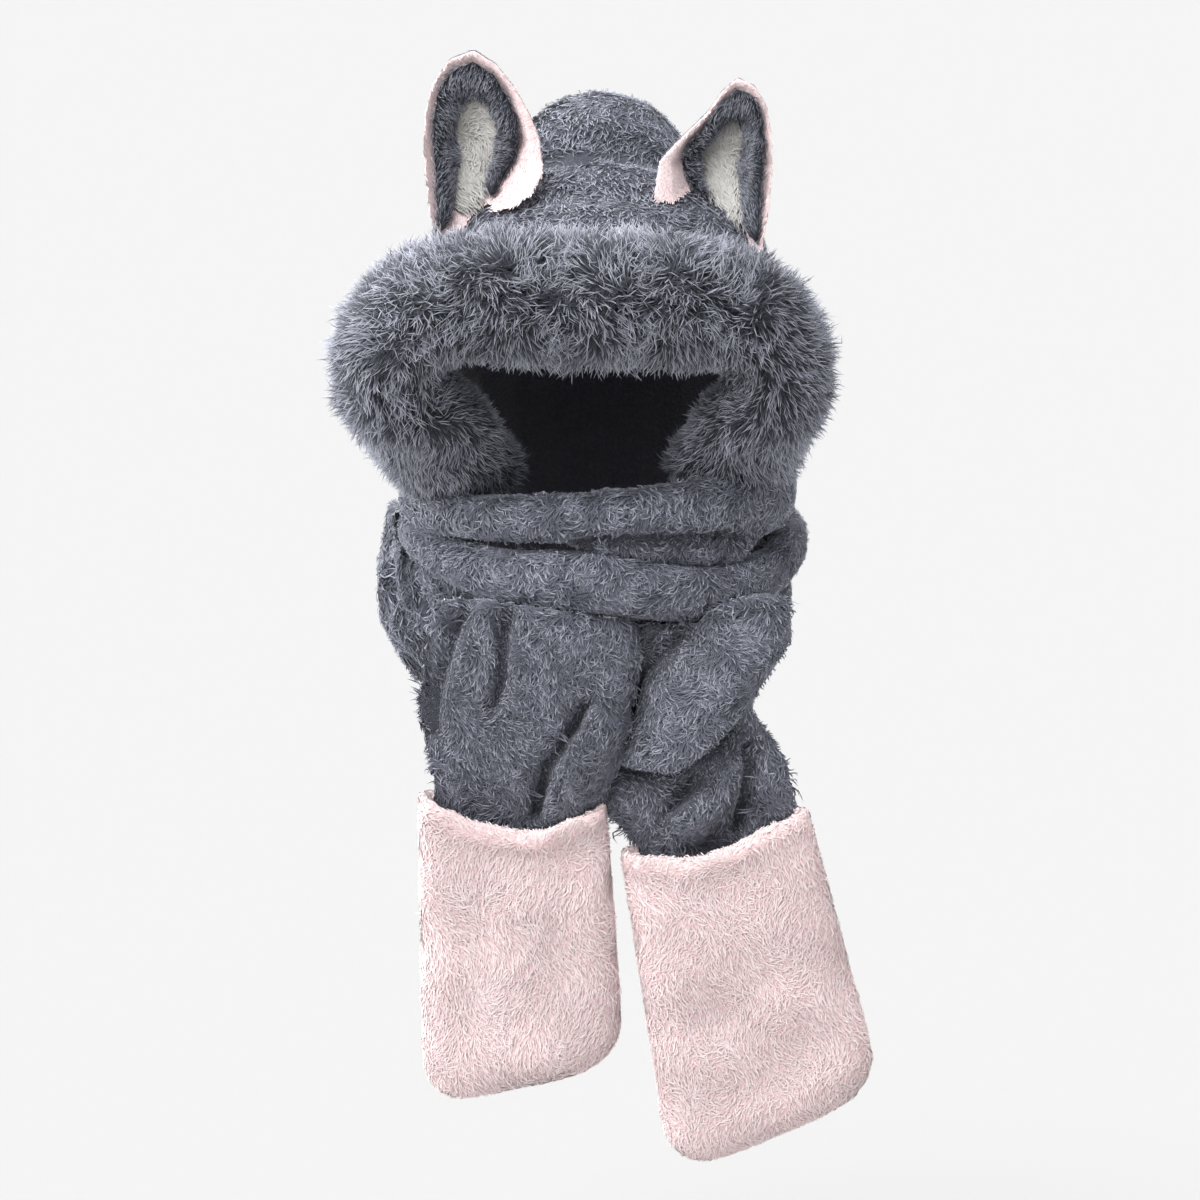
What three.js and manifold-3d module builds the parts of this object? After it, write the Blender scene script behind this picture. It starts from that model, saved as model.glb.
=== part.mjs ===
// Animal hood scarf: a plush hood with a deep fur trim and two upright ears, whose long scarf ends
// wind round the neck and hang down in front into two hand pockets.
// Millimetres, +Z up, the face opening looks along -Y. Left and right in names are as seen from the front,
// so that right is +X.
import * as THREE from 'three';
import { mergeVertices } from 'three/addons/utils/BufferGeometryUtils.js';
import Module from 'manifold-3d';

const wasm = await Module();
wasm.setup();

// Clearance between two pieces that touch
const gap = 0.45;

// Hood
const hoodHalfWidth = 150;
const hoodFront = 106;
const hoodBack = 152;
const hoodCrown = 50;
const hoodDrop = 262;
const hoodWall = 8;
const hoodBlockWall = 45; // wall of the thicker hood that neighbours are cut clear of
const hoodCore = 70; // depth under the origin of the point that the crown's wall is thickened towards
const bumpWidth = 144;
const bumpLength = 140;
const bumpHeight = 60;
const bumpBack = 85; // place of the back bump's centre behind the origin
const bumpBase = 19; // place of the back bump's centre above the origin
const creaseDepth = 7;
const creaseWidth = 15;
const crownMark = 0.165; // the height in the hood's rows that stands for the whole of hoodCrown
const creaseFrom = -0.1; // the crown starts here, as a share of hoodDrop below the origin
const creaseFull = 0.2; // and its creases are full from here, as a share of hoodCrown above it
const edgeCurl = 1.6; // how late the hood's front edge leaves the height of its side
const coreBack = 0.1; // place of the line that walls thicken towards, as a share of hoodBack
const sideShare = 0.45; // the share of a hood row's way round at which it is widest, beside the origin

// Fur roll round the face
const trimHalfWidth = 144;
const trimReach = 114;
const trimDrop = 182;
const trimTop = -40;
const trimShift = -13; // the roll sits a little to one side of the hood
const trimRadius = 55;
const lockHeight = 11;
const lockHeightBehind = 3;
const lockLow = { from: 0.55, to: 0.95 }; // where round the roll its locks sink to lockHeightBehind
const seamTurn = 0.08; // the seam is this much of a turn past the roll's back
const lockStagger = 0.15; // how far a lock's tip leans along the roll's section, in locks
const trimStations = 36;
const trimSides = 13;

// Ears
const earWidth = 95;
const earHeight = 147;
const earCup = 24;
const earSkin = 5;
const earLobe = 9;
const earSeam = 0.009; // gap round the cream middle, as a share of the way out
const furRingHeight = 9;
const earFootDepth = -44;
const earTilt = 46; // how far the tip stands behind the foot
const earSlant = { from: 0.45, to: 0.85 }; // heights of earHeight between which an ear's slant comes in
const tuftDepth = 0.18; // notches in the fur ring, as a share of furRingHeight

// Scarf
const neckHalfWidth = 146;
const neckFront = 104;
const neckBack = 124;
const bandThickness = 38;
const bandHeight = 50;
const bandRound = 0.8; // power of the bands' rounded section, 1 is an ellipse
const upperBandTop = -219;
const lowerBandTop = -268;
const backHalfWidth = 168;
const backFront = 112;
const backReach = 146;
const backThickness = 18;
const backTop = -236;
const backDrop = 146;
const backFold = 5;
const backTuck = { from: 0.45, power: 1.5, depth: 0.52 }; // the wide turn's foot draws in below from
const backLean = 0.1; // how far its top leans in, as a share of its reach
const backFoldTop = 0.4; // height of its folds at the top, as a share of their growth down to the foot
const endWidth = 168;
const endThickness = 30;
const endTop = -284;
const leftEndLength = 196;
const rightEndLength = 216;
const endFront = -130;
const endFade = { from: 0.86, to: 0.95 }; // the folds fade out where the end goes into the pocket

// Pockets
const pocketWidth = 156;
const pocketLength = 252;
const pocketDepth = 46;
const pocketWall = 9;
const pocketFront = -141;
const pocketCorner = 42;
const mouthSag = 15;
const mouthPlump = 0.88; // depth at the mouth and the foot, as a share of pocketDepth
const plumpStart = 0.1; // how far down its bulge a pocket starts
const closeFrom = 0.86; // the pocket's foot starts to close here, as a share of its length
const closedDepth = 0.14; // depth of the pocket's foot, as a share of its depth there
const pocketRoundX = 0.55; // powers of the pocket's rounded section
const pocketRoundY = 0.75;

// Tables. Every length is a share of the size named beside its table.

// Hood rows from the neck up: side and frontX of hoodHalfWidth, frontY of hoodFront, back of hoodBack,
// the heights of hoodDrop below the origin or, where positive, of hoodCrown above it.
const hoodRows = [
  { side: 0.77, frontX: 0.64, frontY: 0.68, back: 0.68, frontZ: -1.0, sideZ: -1.0, backZ: -0.99 },
  { side: 0.81, frontX: 0.7, frontY: 0.74, back: 0.73, frontZ: -0.88, sideZ: -0.88, backZ: -0.87 },
  { side: 0.87, frontX: 0.77, frontY: 0.82, back: 0.8, frontZ: -0.72, sideZ: -0.72, backZ: -0.69 },
  { side: 0.92, frontX: 0.84, frontY: 0.88, back: 0.91, frontZ: -0.54, sideZ: -0.53, backZ: -0.48 },
  { side: 0.94, frontX: 0.84, frontY: 0.94, back: 0.99, frontZ: -0.34, sideZ: -0.31, backZ: -0.24 },
  { side: 0.9, frontX: 0.74, frontY: 0.98, back: 1.0, frontZ: -0.17, sideZ: -0.12, backZ: -0.03 },
  { side: 0.77, frontX: 0.56, frontY: 1.0, back: 0.95, frontZ: -0.08, sideZ: 0.02, backZ: 0.1 },
  { side: 0.58, frontX: 0.38, frontY: 1.0, back: 0.88, frontZ: -0.03, sideZ: 0.09, backZ: 0.14 },
  { side: 0.3, frontX: 0.19, frontY: 1.0, back: 0.84, frontZ: 0.0, sideZ: 0.14, backZ: 0.16 },
  { side: 0.0, frontX: 0.0, frontY: 1.0, back: 0.83, frontZ: 0.01, sideZ: 0.165, backZ: 0.165 },
];

// Cross creases of the crown: place behind the origin of hoodBack, depth of creaseDepth
const crownCreases = [
  { place: -0.33, depth: 0.55 },
  { place: 0.09, depth: 1.3 },
];

// Trim stations from the left foot over the brow to the right foot: x of trimHalfWidth,
// y of trimReach, drop of trimDrop below trimTop, size of trimRadius
const trimRows = [
  { x: -0.7, y: 0.66, drop: 0.89, size: 0.86 },
  { x: -0.75, y: 0.71, drop: 0.76, size: 0.92 },
  { x: -0.85, y: 0.78, drop: 0.57, size: 1.0 },
  { x: -1.0, y: 0.83, drop: 0.33, size: 1.02 },
  { x: -0.86, y: 0.92, drop: 0.09, size: 1.02 },
  { x: -0.5, y: 0.99, drop: 0.0, size: 1.0 },
  { x: 0.0, y: 1.0, drop: 0.0, size: 0.98 },
  { x: 0.5, y: 0.99, drop: 0.01, size: 0.98 },
  { x: 0.86, y: 0.92, drop: 0.11, size: 0.99 },
  { x: 0.99, y: 0.83, drop: 0.34, size: 1.0 },
  { x: 0.91, y: 0.78, drop: 0.6, size: 0.92 },
  { x: 0.85, y: 0.71, drop: 0.76, size: 0.88 },
  { x: 0.83, y: 0.66, drop: 0.89, size: 0.85 },
];

// Ear outline round from the outer foot over the tip: x of earWidth, z of earHeight, ring and core as
// shares of the way out from the ear's middle, lobe of earLobe
const earMiddle = { x: 0.43, z: 0.42 };
const earRows = [
  { x: 0.1, z: -0.07, ring: 0.9, core: 0.6, lobe: 0 },
  { x: 0.03, z: 0.23, ring: 0.81, core: 0.45, lobe: 0 },
  { x: 0.0, z: 0.46, ring: 0.81, core: 0.37, lobe: 0 },
  { x: 0.01, z: 0.65, ring: 0.84, core: 0.42, lobe: 0 },
  { x: 0.07, z: 0.82, ring: 0.87, core: 0.49, lobe: 0 },
  { x: 0.22, z: 0.95, ring: 0.9, core: 0.55, lobe: 0 },
  { x: 0.42, z: 1.0, ring: 0.9, core: 0.57, lobe: 0.1 },
  { x: 0.61, z: 0.92, ring: 0.9, core: 0.57, lobe: 0.2 },
  { x: 0.77, z: 0.79, ring: 0.84, core: 0.53, lobe: 0.3 },
  { x: 0.89, z: 0.65, ring: 0.77, core: 0.45, lobe: 0.5 },
  { x: 0.97, z: 0.52, ring: 0.69, core: 0.35, lobe: 0.8 },
  { x: 1.0, z: 0.34, ring: 0.56, core: 0.31, lobe: 1.1 },
  { x: 0.9, z: 0.2, ring: 0.52, core: 0.33, lobe: 1.2 },
  { x: 0.62, z: 0.07, ring: 0.66, core: 0.48, lobe: 1.0 },
  { x: 0.36, z: -0.04, ring: 0.8, core: 0.6, lobe: 0.3 },
];
const ringRows = 14; // the fur ring is a horseshoe over these rows of the ear

// Ears: side, the outer foot's place of hoodHalfWidth, the foot's height of earHeight, the height,
// the slant of the upper part, and how much of the fur ring's width shows beside the folded lobe
const earPlaces = [
  { name: 'left', side: -1, foot: 0.927, base: -0.03, height: 0.95, slant: 0.0, ring: 1.0 },
  { name: 'right', side: 1, foot: 0.91, base: -0.08, height: 0.85, slant: 0.3, ring: 0.8 },
];

// Wound turns, a row for each twelfth turn from the front towards +X: reach of the neck's outline,
// rise and tall of bandHeight, thick of bandThickness
const upperBandRows = [
  { reach: 1.0, rise: 0.02, tall: 0.86, thick: 1.0 },
  { reach: 1.05, rise: 0.06, tall: 1.1, thick: 1.05 },
  { reach: 1.05, rise: 0.1, tall: 1.25, thick: 1.05 },
  { reach: 0.95, rise: 0.12, tall: 1.05, thick: 0.9 },
  { reach: 0.96, rise: 0.1, tall: 0.95, thick: 0.9 },
  { reach: 1.0, rise: 0.06, tall: 0.9, thick: 0.95 },
  { reach: 1.0, rise: 0.04, tall: 0.9, thick: 1.0 },
  { reach: 1.0, rise: 0.0, tall: 0.85, thick: 0.95 },
  { reach: 1.0, rise: -0.06, tall: 0.8, thick: 0.9 },
  { reach: 1.0, rise: -0.14, tall: 0.72, thick: 0.85 },
  { reach: 1.06, rise: -0.16, tall: 0.68, thick: 0.95 },
  { reach: 1.06, rise: -0.04, tall: 0.78, thick: 1.05 },
];
const lowerBandRows = [
  { reach: 1.07, rise: -0.04, tall: 1.02, thick: 1.1 },
  { reach: 1.09, rise: -0.3, tall: 0.92, thick: 1.05 },
  { reach: 1.07, rise: -0.16, tall: 0.74, thick: 0.95 },
  { reach: 1.04, rise: 0.1, tall: 0.68, thick: 0.9 },
  { reach: 1.0, rise: 0.22, tall: 0.74, thick: 0.9 },
  { reach: 1.0, rise: 0.3, tall: 0.8, thick: 0.95 },
  { reach: 1.0, rise: 0.34, tall: 0.8, thick: 1.0 },
  { reach: 1.0, rise: 0.34, tall: 0.8, thick: 0.95 },
  { reach: 1.0, rise: 0.36, tall: 0.7, thick: 0.9 },
  { reach: 1.01, rise: 0.36, tall: 0.6, thick: 0.85 },
  { reach: 1.07, rise: 0.2, tall: 0.6, thick: 0.9 },
  { reach: 1.09, rise: 0.02, tall: 0.86, thick: 1.0 },
];

// Wide turn round the sides and back, from the front right round the back to the front left:
// reach of its outline, top and foot of backDrop below backTop, fold of backFold
const backRows = [
  { reach: 0.94, top: 0.28, foot: 0.74, fold: 0.3 },
  { reach: 0.95, top: 0.1, foot: 0.9, fold: 0.6 },
  { reach: 0.95, top: 0.04, foot: 0.98, fold: 0.8 },
  { reach: 0.97, top: 0.0, foot: 1.0, fold: 0.6 },
  { reach: 1.0, top: 0.0, foot: 1.0, fold: 0.6 },
  { reach: 1.05, top: 0.0, foot: 1.02, fold: 0.8 },
  { reach: 1.11, top: 0.0, foot: 1.04, fold: 1.0 },
  { reach: 1.1, top: 0.06, foot: 1.04, fold: 1.0 },
  { reach: 0.95, top: 0.3, foot: 1.02, fold: 0.8 },
];
const backStart = 42; // degrees round from the front
const backEnd = 320;
const backFoldCount = 16;

// Scarf ends from under the wound turns down into the pocket: from and to of endWidth,
// front of endThickness behind endFront, thick of endThickness, tilt the slope across the end
const leftEndRows = [
  { from: -0.76, to: 0.19, front: 0.16, thick: 0.9, tilt: 0 },
  { from: -0.79, to: 0.19, front: 0.0, thick: 1.0, tilt: 0 },
  { from: -0.81, to: 0.19, front: -0.03, thick: 1.05, tilt: 0 },
  { from: -0.82, to: 0.165, front: -0.03, thick: 1.05, tilt: 0 },
  { from: -0.82, to: 0.135, front: 0.0, thick: 1.0, tilt: 0 },
  { from: -0.82, to: 0.09, front: 0.14, thick: 0.9, tilt: 0 },
  { from: -0.81, to: 0.03, front: 0.36, thick: 0.65, tilt: 0 },
  { from: -0.78, to: -0.04, front: 0.42, thick: 0.46, tilt: 0 },
];
const rightEndRows = [
  { from: 0.12, to: 0.9, front: 0.5, thick: 0.9, tilt: 0 },
  { from: 0.12, to: 0.92, front: 0.4, thick: 1.0, tilt: 0 },
  { from: 0.12, to: 0.82, front: 0.3, thick: 1.05, tilt: 0 },
  { from: 0.09, to: 0.73, front: 0.25, thick: 1.05, tilt: 0.04 },
  { from: 0.06, to: 0.84, front: 0.25, thick: 1.0, tilt: 0.08 },
  { from: 0.05, to: 0.91, front: 0.28, thick: 0.85, tilt: 0.14 },
  { from: 0.13, to: 0.95, front: 0.38, thick: 0.62, tilt: 0.2 },
  { from: 0.24, to: 0.98, front: 0.44, thick: 0.46, tilt: 0.24 },
];

// Folds along a scarf end: the start and end of each fold's line, x of endWidth and z of its length
// below endTop, wide of endWidth, high of endThickness, negative for a groove
const leftEndFolds = [
  { x0: -0.7, z0: 0.1, x1: -0.79, z1: 0.85, wide: 0.035, high: -0.3 },
  { x0: -0.56, z0: 0.08, x1: -0.7, z1: 0.6, wide: 0.045, high: -0.22 },
  { x0: -0.42, z0: 0.1, x1: -0.5, z1: 0.45, wide: 0.05, high: -0.14 },
  { x0: 0.12, z0: 0.3, x1: -0.17, z1: 0.95, wide: 0.08, high: 0.26 },
  { x0: -0.06, z0: 0.4, x1: -0.29, z1: 0.95, wide: 0.04, high: -0.24 },
];
const rightEndFolds = [
  { x0: 0.86, z0: 0.16, x1: 0.4, z1: 0.55, wide: 0.16, high: 0.3 },
  { x0: 0.08, z0: 0.72, x1: 0.52, z1: 0.7, wide: 0.04, high: -0.4 },
  { x0: 0.52, z0: 0.7, x1: 0.68, z1: 0.52, wide: 0.04, high: -0.4 },
  { x0: 0.66, z0: 0.58, x1: 0.36, z1: 0.97, wide: 0.06, high: 0.32 },
  { x0: 0.76, z0: 0.54, x1: 0.6, z1: 0.97, wide: 0.035, high: -0.3 },
];

// Pockets: corner places, x of pocketWidth and z of pocketLength below pocketTop
const pocketTop = -452;
const pocketPlaces = [
  {
    name: 'pocket_left',
    topLeft: { x: -0.93, z: 0.0 }, topRight: { x: 0.035, z: 0.0 },
    footLeft: { x: -0.92, z: 1.045 }, footRight: { x: 0.13, z: 0.88 },
  },
  {
    name: 'pocket_right',
    topLeft: { x: 0.1, z: 0.15 }, topRight: { x: 1.07, z: 0.03 },
    footLeft: { x: 0.37, z: 1.29 }, footRight: { x: 1.48, z: 0.98 },
  },
];

// Materials
const greyFur = { color: 0x6a6f7b, roughness: 0.95, metalness: 0 };
const greyPlush = { color: 0x656a77, roughness: 0.95, metalness: 0 };
const pinkPlush = { color: 0xecd3d1, roughness: 0.95, metalness: 0 };
const creamPlush = { color: 0xd3d3ca, roughness: 0.95, metalness: 0 };

// Reads a table at a share of its length, with every column on one smooth curve
function rowAt(rows, share, closed = false) {
  const spans = closed ? rows.length : rows.length - 1;
  const place = THREE.MathUtils.clamp(share, 0, 1) * spans;
  const start = Math.min(Math.floor(place), spans - 1);
  const t = place - start;
  const pick = (i) => (closed ? rows[(i + rows.length) % rows.length]
    : rows[THREE.MathUtils.clamp(i, 0, rows.length - 1)]);
  const mixed = {};
  for (const name of Object.keys(rows[0])) {
    const [a, b, c, d] = [-1, 0, 1, 2].map((step) => pick(start + step)[name]);
    const bend = 2 * a - 5 * b + 4 * c - d + t * (3 * (b - c) + d - a);
    mixed[name] = b + 0.5 * t * (c - a + t * bend);
  }
  return mixed;
}

// Evenly spaced shares from 0 to 1
function shares(count) {
  return Array.from({ length: count }, (_, i) => i / (count - 1));
}

// A coordinate of a circle, drawn out towards a rounded box by a power under 1
function rounded(value, power) {
  return Math.sign(value) * Math.abs(value) ** power;
}

// A closed solid from triangles given as corner points, with its faces turned outwards
function solidFrom(corners) {
  let volume = 0;
  for (let i = 0; i < corners.length; i += 3) {
    volume += corners[i].dot(new THREE.Vector3().crossVectors(corners[i + 1], corners[i + 2]));
  }
  const order = volume > 0 ? [0, 1, 2] : [0, 2, 1];
  const places = [];
  for (let i = 0; i < corners.length; i += 3) {
    for (const k of order) places.push(...corners[i + k].toArray());
  }
  const geometry = new THREE.BufferGeometry();
  geometry.setAttribute('position', new THREE.Float32BufferAttribute(places, 3));
  return mergeVertices(geometry, 1e-3);
}

// Two triangles over four corners, split along the shorter way across
function quad(corners, a, b, c, d) {
  if (a.distanceTo(c) <= b.distanceTo(d) + 1e-6) corners.push(a, b, c, a, c, d);
  else corners.push(b, c, d, b, d, a);
}

// A skin through a list of closed rings of points, with fans over its two ends or joined end to end
function loft(rings, endless = false) {
  const corners = [];
  const sides = rings[0].length;
  const spans = endless ? rings.length : rings.length - 1;
  for (let i = 0; i < spans; i += 1) {
    const next = rings[(i + 1) % rings.length];
    for (let k = 0; k < sides; k += 1) {
      const after = (k + 1) % sides;
      quad(corners, rings[i][k], next[k], next[after], rings[i][after]);
    }
  }
  if (!endless) {
    fan(corners, rings[0], true);
    fan(corners, rings[rings.length - 1], false);
  }
  return solidFrom(corners);
}

function fan(corners, ring, forward) {
  const middle = new THREE.Vector3();
  for (const point of ring) middle.addScaledVector(point, 1 / ring.length);
  for (let k = 0; k < ring.length; k += 1) {
    const after = ring[(k + 1) % ring.length];
    if (forward) corners.push(middle, ring[k], after);
    else corners.push(middle, after, ring[k]);
  }
}

function toManifold(geometry) {
  const vertProperties = new Float32Array(geometry.attributes.position.array);
  const triVerts = new Uint32Array(geometry.index.array);
  return new wasm.Manifold(new wasm.Mesh({ numProp: 3, vertProperties, triVerts }));
}

function toGeometry(manifold) {
  const mesh = manifold.getMesh();
  const geometry = new THREE.BufferGeometry();
  geometry.setAttribute('position', new THREE.BufferAttribute(mesh.vertProperties, 3));
  geometry.setIndex(new THREE.BufferAttribute(mesh.triVerts, 1));
  return geometry;
}

// The same closed solid with its skin moved outwards
function grown(geometry, distance) {
  const wider = geometry.clone();
  wider.computeVertexNormals();
  const { position, normal } = wider.attributes;
  for (let i = 0; i < position.count; i += 1) {
    position.setXYZ(
      i,
      position.getX(i) + normal.getX(i) * distance,
      position.getY(i) + normal.getY(i) * distance,
      position.getZ(i) + normal.getZ(i) * distance,
    );
  }
  wider.deleteAttribute('normal');
  return wider;
}

// Cuts a solid clear of its neighbours and keeps its main body
function clearOf(geometry, neighbours) {
  let body = toManifold(geometry);
  for (const neighbour of neighbours) body = body.subtract(toManifold(grown(neighbour, gap)));
  const parts = body.decompose();
  parts.sort((a, b) => b.volume() - a.volume());
  return toGeometry(parts[0]);
}

// Hood

// A height in the hood's tables, below the origin or above it
function hoodHeightOf(share) {
  return share < 0 ? share * hoodDrop : (share / crownMark) * hoodCrown;
}

// Half of a hood row from its front edge round the side to the middle of the back
function hoodRowPoint(row, share, side) {
  const width = row.side * hoodHalfWidth;
  const frontZ = hoodHeightOf(row.frontZ);
  const sideZ = hoodHeightOf(row.sideZ);
  if (share < sideShare) {
    const t = 1 - share / sideShare;
    const x = width - (width - row.frontX * hoodHalfWidth) * t * t;
    const z = sideZ + (frontZ - sideZ) * t ** edgeCurl;
    return new THREE.Vector3(side * x, -t * row.frontY * hoodFront, z);
  }
  const angle = ((share - sideShare) / (1 - sideShare)) * Math.PI / 2;
  const y = row.back * hoodBack * Math.sin(angle);
  const z = sideZ + (hoodHeightOf(row.backZ) - sideZ) * Math.sin(angle);
  return new THREE.Vector3(side * width * Math.cos(angle), y, z);
}

// Presses the cross creases into the crown and pushes out the round bump behind them
function shapeCrown(point) {
  const shaped = point.clone();
  const onTop = THREE.MathUtils.smoothstep(point.z, creaseFrom * hoodDrop, creaseFull * hoodCrown);
  for (const crease of crownCreases) {
    const away = (point.y - crease.place * hoodBack) / creaseWidth;
    shaped.z -= onTop * crease.depth * creaseDepth * Math.exp(-away * away);
  }
  const centre = new THREE.Vector3(0, bumpBack, bumpBase);
  const radii = new THREE.Vector3(bumpWidth / 2, bumpLength / 2, bumpHeight);
  const reach = shaped.clone().sub(centre).divide(radii);
  const length = reach.length();
  if (length < 1 && point.z > 0) shaped.copy(centre).addScaledVector(reach.multiply(radii), 1 / length);
  return shaped;
}

function hoodPoint(rowShare, share, side, inwards) {
  const outer = shapeCrown(hoodRowPoint(rowAt(hoodRows, rowShare), share, side));
  if (inwards === 0) return outer;
  const coreZ = THREE.MathUtils.clamp(outer.z, -hoodDrop, -hoodCore);
  const core = new THREE.Vector3(0, coreBack * hoodBack, coreZ);
  return outer.addScaledVector(core.sub(outer).normalize(), inwards);
}

function hood(wall) {
  const levels = shares(13);
  const along = shares(11);
  const corners = [];
  const top = levels.length - 1;
  const skinAt = (i, j, side, depth) => hoodPoint(levels[i], along[j], i === top ? 0 : side, depth);
  for (const side of [-1, 1]) {
    const outer = (i, j) => skinAt(i, j, side, 0);
    const inner = (i, j) => skinAt(i, j, side, wall);
    const add = (a, b, c, d) => (side < 0 ? quad(corners, a, b, c, d) : quad(corners, d, c, b, a));
    for (let i = 0; i < top; i += 1) {
      for (let j = 0; j < along.length - 1; j += 1) {
        add(outer(i, j), outer(i + 1, j), outer(i + 1, j + 1), outer(i, j + 1));
        add(inner(i, j + 1), inner(i + 1, j + 1), inner(i + 1, j), inner(i, j));
      }
      add(inner(i, 0), inner(i + 1, 0), outer(i + 1, 0), outer(i, 0));
    }
    for (let j = 0; j < along.length - 1; j += 1) {
      add(outer(0, j), outer(0, j + 1), inner(0, j + 1), inner(0, j));
    }
  }
  return solidFrom(corners);
}

// Fur roll round the face

const trimPath = new THREE.CatmullRomCurve3(trimRows.map((row) => new THREE.Vector3(
  row.x * trimHalfWidth + trimShift,
  -row.y * trimReach,
  trimTop - row.drop * trimDrop,
)));

// A point on the roll: turn 0 faces the front, a quarter turn faces away from the opening
function trimPoint(share, turn, lift) {
  const centre = trimPath.getPoint(share);
  const along = trimPath.getTangent(share);
  const front = new THREE.Vector3(0, -1, 0).addScaledVector(along, along.y).normalize();
  const away = new THREE.Vector3().crossVectors(front, along);
  const angle = turn * 2 * Math.PI;
  const size = rowAt(trimRows, share).size * trimRadius - lockHeight;
  const way = front.multiplyScalar(Math.cos(angle)).addScaledVector(away, Math.sin(angle));
  return centre.addScaledVector(way, size + lift);
}

// Locks are low where the roll is sewn to the hood
function lockLift(turn) {
  const behind = 0.5 - 0.5 * Math.cos((turn - seamTurn) * 2 * Math.PI);
  const low = THREE.MathUtils.smoothstep(behind, lockLow.from, lockLow.to);
  return lockHeight + (lockHeightBehind - lockHeight) * low;
}

function trim() {
  const corners = [];
  const point = (i, k, lift) => trimPoint(i / trimStations, k / trimSides, lift);
  for (let i = 0; i < trimStations; i += 1) {
    for (let k = 0; k < trimSides; k += 1) {
      const stagger = (i % 2 ? 1 : -1) * lockStagger;
      const tip = point(i + 0.5, k + 0.5 + stagger, lockLift((k + 0.5) / trimSides));
      const ring = [point(i, k, 0), point(i + 1, k, 0), point(i + 1, k + 1, 0), point(i, k + 1, 0)];
      for (let n = 0; n < 4; n += 1) corners.push(tip, ring[n], ring[(n + 1) % 4]);
    }
  }
  const ringAt = (i) => Array.from({ length: trimSides }, (_, k) => point(i, k, 0));
  fan(corners, ringAt(0), true);
  fan(corners, ringAt(trimStations), false);
  return solidFrom(corners);
}

// The smooth outer form of the roll, which the hood's edge meets
function trimEnvelope() {
  const sides = 2 * trimSides;
  return loft(shares(trimStations + 1).map((share) => Array.from({ length: sides }, (_, k) => (
    trimPoint(share, k / sides, lockLift(k / sides) + 2 * gap)))));
}

// Ears

function earPoint(ear, row, out, forward) {
  const width = earWidth * ear.side;
  const z = earMiddle.z + (row.z - earMiddle.z) * out;
  const slant = 1 - ear.slant * THREE.MathUtils.smoothstep(z, earSlant.from, earSlant.to);
  const x = (earMiddle.x + (row.x - earMiddle.x) * out) * slant;
  const cup = earCup * (1 - out * out);
  return new THREE.Vector3(
    ear.side * ear.foot * hoodHalfWidth - x * width,
    earFootDepth + earTilt * z + cup - forward,
    (ear.base + z * ear.height) * earHeight,
  );
}

// One cupped layer of an ear, through rings given as shares of the way out and a lift of the front
function earLayer(ear, rear, steps) {
  const ring = (out, lift) => earRows.map((row) => earPoint(ear, row, out(row), rear + lift(row)));
  const front = steps.map(({ out, lift }) => ring(out, lift));
  const back = steps.map(({ out }) => ring(out, () => 0));
  return loft([...front, ...back.reverse()]);
}

// The outer reach of the fur ring, which the folded lobe narrows
function ringReach(ear, row) {
  const beside = Math.min(1, row.lobe) * (1 - ear.ring);
  return row.core + (row.ring - row.core) * (1 - beside);
}

// The fur horseshoe between the cream middle and the pink edge
function earRing(ear, rear) {
  const section = [
    { across: 0, lift: 0 }, { across: 0.02, lift: 0.55 }, { across: 0.3, lift: 1 },
    { across: 0.7, lift: 1 }, { across: 0.98, lift: 0.5 }, { across: 1, lift: 0 },
  ];
  return loft(earRows.slice(0, ringRows).map((row, i) => section.map(({ across, lift }, n) => {
    const tuft = n === 2 || n === 3 ? 1 - tuftDepth + tuftDepth * (-1) ** (i + n) : 1;
    const from = row.core + earSeam;
    const out = from + (ringReach(ear, row) - from) * across;
    return earPoint(ear, row, out, rear + lift * tuft * furRingHeight);
  })));
}

function earPieces(ear, crown) {
  const between = (share) => (row) => ringReach(ear, row) * (1 - share) + share;
  const lobe = (share) => (row) => earSkin + share * row.lobe * earLobe;
  const flat = () => earSkin;
  const middle = [
    { out: (row) => 0.5 * row.core, lift: flat },
    { out: (row) => row.core, lift: () => earSkin / 2 },
  ];
  const skin = [
    { out: (row) => 0.5 * row.core, lift: flat },
    { out: (row) => row.core, lift: flat },
    { out: between(0), lift: flat },
    { out: between(0.45), lift: lobe(1) },
    { out: between(1), lift: lobe(0.3) },
  ];
  const lining = earSkin + gap;
  const onLining = lining + earSkin + gap;
  const layers = {
    back: [earLayer(ear, 0, skin.map(({ out }) => ({ out, lift: flat }))), greyPlush],
    lining: [earLayer(ear, lining, skin), pinkPlush],
    ring: [earRing(ear, onLining), greyFur],
    center: [earLayer(ear, onLining, middle), creamPlush],
  };
  return Object.entries(layers).map(([layer, [geometry, look]]) => (
    piece(`ear_${ear.name}_${layer}`, clearOf(geometry, [crown]), look)));
}

// Scarf

// A place round the neck: turn 0 is the front, a quarter turn is at +X
function roundNeck(turn, reach, halfWidth, front, back) {
  const angle = turn * 2 * Math.PI;
  const depth = Math.cos(angle) > 0 ? front : back;
  return new THREE.Vector3(Math.sin(angle) * halfWidth, -Math.cos(angle) * depth, 0).multiplyScalar(reach);
}

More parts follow.
